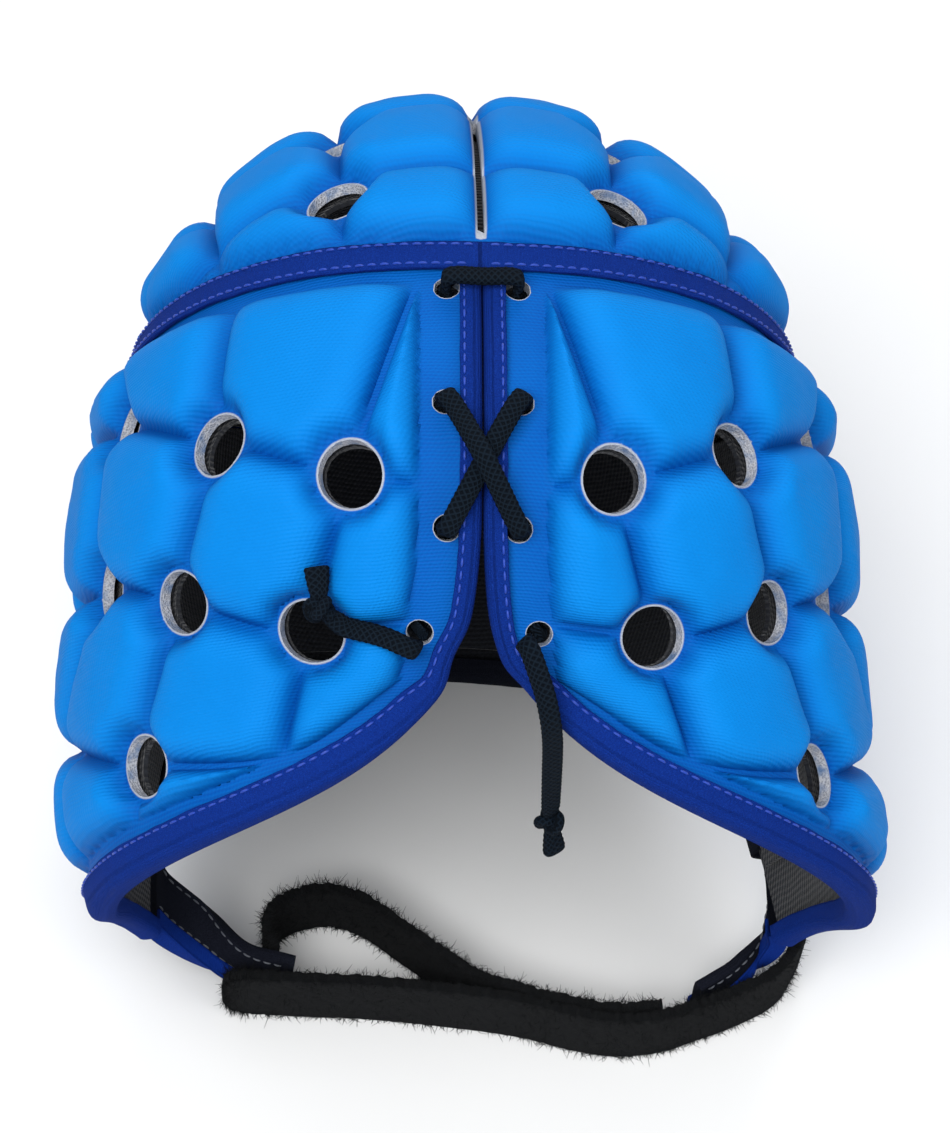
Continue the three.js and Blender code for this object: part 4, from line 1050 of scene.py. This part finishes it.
def standing_strap(name, node, sections, thickness):
    """Strap on its edge: a flat rounded section along a curve, with ragged edges and soft faces."""
    count = len(sections) * STRAP_STATIONS
    line = curve_points(np.column_stack([sections[:, :2], np.zeros(len(sections))]), count)
    u = np.linspace(0, len(sections) - 1, count)
    low, high = (np.interp(u, np.arange(len(sections)), sections[:, k]) for k in (2, 3))
    along = unit(np.gradient(line, axis=0))
    side = np.stack([-along[:, 1], along[:, 0], 0 * low], -1)
    outline = rounded([(-0.5, 0), (0.5, 0), (0.5, 1), (-0.5, 1)], 0.08, 4)
    flank = np.linspace(0.1, 0.9, 14)
    x = np.concatenate([outline[:8, 0], 0 * flank + 0.5, outline[8:, 0], 0 * flank - 0.5])
    z = np.concatenate([outline[:8, 1], flank, outline[8:, 1], flank[::-1]])
    rings = line[:, None] + side[:, None] * (x * thickness)[:, None]
    rings[..., 2] = low[:, None] + (high - low)[:, None] * z[None, :]
    rough = uneven(rings, PILE_WAVES)
    edge = np.clip(abs(z - 0.5) * 2 - 0.8, 0, 0.2) / 0.2
    rings[..., 2] += rough * edge * EDGE_RAG
    rings += side[:, None] * (np.sign(x) * rough * FACE_RAG)[..., None]
    settle(swept(name, rings, run_lengths(line), [LOOP_TAPE], sharp=80, convert=from_surface), "strap", node)
    fibres(name + "_fuzz", line, side, low, high, thickness)


def fibres(name, line, side, low, high, thickness):
    """Loose fibres over a strap: bent hairs of three-sided tube, rooted on its faces and edges."""
    count = FIBRES
    k = rng.integers(3, len(line) - 3, count)
    face = np.where(rng.random(count) < 0.5, -1, 1)
    share = np.where(rng.random(count) < 0.55, rng.choice([0.02, 0.98], count), rng.random(count))
    root = line[k] + side[k] * (face * thickness * 0.48)[:, None]
    root[:, 2] = low[k] + (high - low)[k] * share
    out = side[k] * face[:, None] * rng.uniform(0.1, 1, (count, 1))
    out[:, 2] += (share - 0.5) * 1.4
    out = unit(out + rng.normal(size=(count, 3)) * 0.5)
    bend = rng.normal(size=(count, 3)) * 0.5
    length = rng.uniform(*FIBRE_LENGTH, (count, 1))
    steps = np.linspace(0, 1, 4)
    spine = rings_about(root, out, bend, length * steps, length * steps ** 2)
    spine[..., 2] = np.maximum(spine[..., 2], 0.08)
    a = unit(np.cross(out, bend))
    b = np.cross(out, a)
    turn = np.arange(3) * 2 * np.pi / 3
    size = FIBRE_RADIUS * np.array([1, 0.9, 0.7, 0.35])
    ring = a[:, None, None] * np.cos(turn)[:, None] + b[:, None, None] * np.sin(turn)[:, None]
    vertices = from_surface((spine[:, :, None] + ring * size[:, None, None]).reshape(-1, 3))
    settle(make_mesh(name, vertices, tube_faces(count, 4, 3), [LOOP_TAPE]), "strap")


TAB_LEG, TAB_IN, TAB_OUT = 4.2, TAB / 2 + 0.15, TAB / 2 + 1.1
TAB_TAPE = rounded([
    (TAB_LEG, TAB_IN), (-0.25, TAB_IN), (-0.25, -TAB_IN), (TAB_LEG, -TAB_IN),
    (TAB_LEG, -TAB_OUT), (-1.2, -TAB_OUT), (-1.2, TAB_OUT), (TAB_LEG, TAB_OUT),
], 0.7)


def tab(name, node, sections):
    """Tab: a bent strip between two curves, with tape folded over its near edge, and two rows of
    stitches on each face."""
    near, far = (curve_points(sections[:, k], TAB_STATIONS) for k in (0, 1))
    along = unit(np.gradient((near + far) / 2, axis=0))
    across = unit(far - near)
    out = unit(np.cross(along, across))
    width = length_of(far - near)
    share = np.linspace(0, 1, 16)
    over = np.column_stack([share, np.full(16, 0.5)])
    under = np.column_stack([share[::-1], np.full(16, -0.5)])
    outline = np.concatenate([over, [[1.01, 0.35], [1.015, 0], [1.01, -0.35]], under,
                              [[-0.01, -0.35], [-0.015, 0], [-0.01, 0.35]]])
    rings = rings_about(near, across, out, outline[:, 0] * width[:, None], outline[:, 1] * TAB)
    rings += out[:, None] * uneven(rings, TAB_WAVES)[..., None]
    run = run_lengths(near)
    settle(swept(name, rings, run, [DARK_TAPE], convert=from_surface), "dark_tape", node)
    rings = rings_about(near, across, out, TAB_TAPE[:, 0], TAB_TAPE[:, 1])
    settle(swept(name + "_tape", rings, run, [BLUE_TAPE], convert=from_surface), "tape")
    for word, share in (("near", 0.28), ("far", 0.9)):
        for side, face in (("inside", -1), ("outside", 1)):
            line = near + (far - near) * share + out * (face * (TAB / 2 + 0.12))
            run = run_lengths(line)
            starts = np.arange(1.5, run[-1] - 3, STITCH_PITCH)
            a, b = line_at(line, run, starts), line_at(line, run, starts + STITCH)
            up = line_at(out * face, run, starts)
            bars(f"{name}_{word}_thread_{side}", a, b, up, TAB_THREAD_RADIUS, GREY_THREAD, "dark_tape",
                 from_surface)


def straps():
    standing_strap("outer_strap", "chin_strap", STRAP_SECTIONS, STRAP)
    standing_strap("under_strap", "inner_strap", INNER_SECTIONS, INNER_STRAP)
    tab("left_strap_tab", "left_tab", LEFT_TAB)
    tab("right_strap_tab", "right_tab", RIGHT_TAB)


# Laces

LACE_OVER = TAPE_TOP + LEG_LIFT + CLEARANCE + LACE_ROUND / 2
LACE_UNDER = LINING_TOP - LINING - LACE_SAG - CLEARANCE - LACE_ROUND / 2
LACE_CROSS = LACE_OVER + LACE_ROUND + CLEARANCE


def lacing_route():
    """Middle line of the laced stretch: in at the lower left eyelet, over the bar, back and across."""
    def at(side, index, height):
        return form_point(eyelet_direction(side, index), height)

    def between(a, b, height, share):
        p = a * form_radius(a) * (1 - share) + b * form_radius(b) * share
        return form_point(unit(p), height)

    def run(side, a, b):
        a, b = eyelet_direction(side, a), eyelet_direction(side, b)
        return [form_point(a, LACE_UNDER + 1.2), *(between(a, b, LACE_UNDER, f) for f in (0.2, 0.5, 0.8)),
                form_point(b, LACE_UNDER + 1.2)]

    def across(side_a, a, side_b, b, middle):
        a, b = eyelet_direction(side_a, a), eyelet_direction(side_b, b)
        low, high = LACE_OVER - 0.6, LACE_OVER + 0.4
        return [form_point(a, low), between(a, b, high, 0.16), between(a, b, middle, 0.5),
                between(a, b, high, 0.84), form_point(b, low)]

    return np.array([
        at(-1, 3, 1.4), *run(-1, 3, 2), at(-1, 2, 0), *across(-1, 2, 1, 1, LACE_OVER), at(1, 1, 0),
        *run(1, 1, 0), at(1, 0, 0), *across(1, 0, -1, 0, LACE_OVER), at(-1, 0, 0), *run(-1, 0, 1),
        at(-1, 1, 0), *across(-1, 1, 1, 2, LACE_CROSS), at(1, 2, 0), *run(1, 2, 3), at(1, 3, 1.4),
    ])


def braid(name, line, width=LACE_WIDTH, thick=LACE_THICK):
    """Flat braid: a rounded flat section that lies along the form, carried along a line."""
    along = unit(np.gradient(line, axis=0))
    up = form_normal(unit(line))
    up = smoothed(up - (up * along).sum(-1, keepdims=True) * along, 6, False)
    side = unit(np.cross(along, up))
    lift = np.cross(side, along)
    turn = full_turn(BRAID_CORNERS)
    x = np.sign(np.cos(turn)) * abs(np.cos(turn)) ** 0.8 * np.broadcast_to(width, len(line))[:, None] / 2
    y = np.sign(np.sin(turn)) * abs(np.sin(turn)) ** 0.7 * np.broadcast_to(thick, len(line))[:, None] / 2
    run = run_lengths(line)
    plait = 1 + 0.04 * np.sin(run * 2 * np.pi / LACE_PLAIT)[:, None]
    return swept(name, rings_about(line, side, lift, x * plait, y * plait), run, [BRAID], sharp=80)


def knot_piece(name, node, centre, tail):
    """Overhand knot: a round strand along a closed three-leaf knot."""
    aim = unit(tail)
    side = unit(np.cross(aim, [0.3, 0.2, 1]))
    basis = np.stack([side, np.cross(aim, side), aim])
    t = full_turn(KNOT_STATIONS)
    knot = np.stack([np.sin(t) + 2 * np.sin(2 * t), np.cos(t) - 2 * np.cos(2 * t), -1.5 * np.sin(3 * t)], -1)
    line = centre + KNOT_SCALE * knot @ basis
    tangent = unit(np.roll(line, -1, 0) - np.roll(line, 1, 0))
    away = unit(np.cross(tangent, line - centre))
    lift = np.cross(tangent, away)
    turn = full_turn(STRAND_CORNERS)
    rings = rings_about(line, away, lift, STRAND_RADIUS * np.cos(turn), STRAND_RADIUS * np.sin(turn))
    run = np.linspace(0, KNOT_RUN, KNOT_STATIONS)
    return settle(swept(name, rings, run, [BRAID], closed=True, sharp=80), "lace", node)


def laces():
    line = even_line(curve_points(lacing_route(), 1400, 0.4), LACE_STEP)
    settle(braid("laced_braid", line), "lace", "lace")
    ends = (("left", LEFT_END, (-1, -1.6, 9)), ("right", RIGHT_END, (1.5, 8, -5)))
    for word, route, tail in ends:
        tail = np.array(tail, float)
        centre = route[-1] + unit(route[-1] - route[-2]) * (KNOT / 2 + CLEARANCE)
        whole = np.concatenate([route, [centre, centre + 0.5 * tail, centre + tail]])
        line = even_line(curve_points(whole, 500, 0.5), LACE_STEP)
        pinch = 1 - 0.45 * np.exp(-(length_of(line - centre) / 3) ** 2)
        flare = 1 + 0.2 * smooth_step(1 - length_of(line - line[-1]) / 6)
        width = LACE_WIDTH * pinch * flare
        piece = settle(braid(f"{word}_free_braid", line, width, LACE_THICK * pinch * flare ** 2),
                       "lace", f"{word}_lace_end")
        knot = knot_piece(f"{word}_knot", f"{word}_lace_knot", centre, tail)
        length = run_lengths(line)[-1] / 1000


# Camera, light and floor

EYE = np.array([-28.3, -613.3, -213.6])
FORWARD, UPWARD = np.array([0.0492, 0.9384, 0.3420]), np.array([-0.0179, -0.3415, 0.9397])
SENSOR, FOCAL_SHARE = 36, 2540 / 1133
LIT_POINT = Vector((0, 0, 0.08))
SKY_COLOUR, SKY_STRENGTH, FLOOR_HALF = (0.9, 0.93, 1, 1), 0.52, 4
LIGHTS = [
    ("key", (-0.3, -0.6, 1.1), 0.8, 17),
    ("fill", (0.9, -0.5, 0.8), 1.0, 4),
    ("back", (0.1, 1.0, 0.9), 0.8, 6),
]


def camera_and_light():
    scene = bpy.context.scene
    place = to_row(EYE)
    look = unit(to_row(EYE + FORWARD * 100) - place)
    up = unit(to_row(EYE + UPWARD * 100) - place)
    right = np.cross(look, up)
    turn = Matrix((right, np.cross(right, look), -look)).transposed().to_4x4()
    lens = bpy.data.cameras.new("camera")
    lens.sensor_width = SENSOR
    lens.lens = FOCAL_SHARE * SENSOR
    lens.clip_start, lens.clip_end = 0.05, 20
    scene.camera = placed("camera", lens)
    scene.camera.matrix_world = Matrix.Translation(Vector(place)) @ turn
    for name, spot, size, power in LIGHTS:
        light = bpy.data.lights.new(name, "AREA")
        light.size, light.energy = size, power
        lamp = placed(name, light)
        lamp.location = spot
        lamp.rotation_euler = (LIT_POINT - Vector(spot)).to_track_quat("-Z", "Y").to_euler()
    world = bpy.data.worlds.new("studio")
    world.use_nodes = True
    sky = world.node_tree.nodes["Background"].inputs
    sky["Color"].default_value, sky["Strength"].default_value = SKY_COLOUR, SKY_STRENGTH
    scene.world = world
    scene.view_settings.view_transform = "Standard"
    mesh = bpy.data.meshes.new("floor")
    corners = [(x * FLOOR_HALF, y * FLOOR_HALF, 0) for x, y in ((-1, -1), (1, -1), (1, 1), (-1, 1))]
    mesh.from_pydata(corners, [], [(0, 1, 2, 3)])
    n = Finish("pale_floor", 0.8)
    mesh.materials.append(n.done(n.mix(n.noise(n.place(), 0.01, 2), (0.74, 0.74, 0.73), (0.78, 0.78, 0.77))))
    placed("floor", mesh)


camera_and_light()
laces()
side_panels()
forehead()
crown()
bindings()
band()
straps()
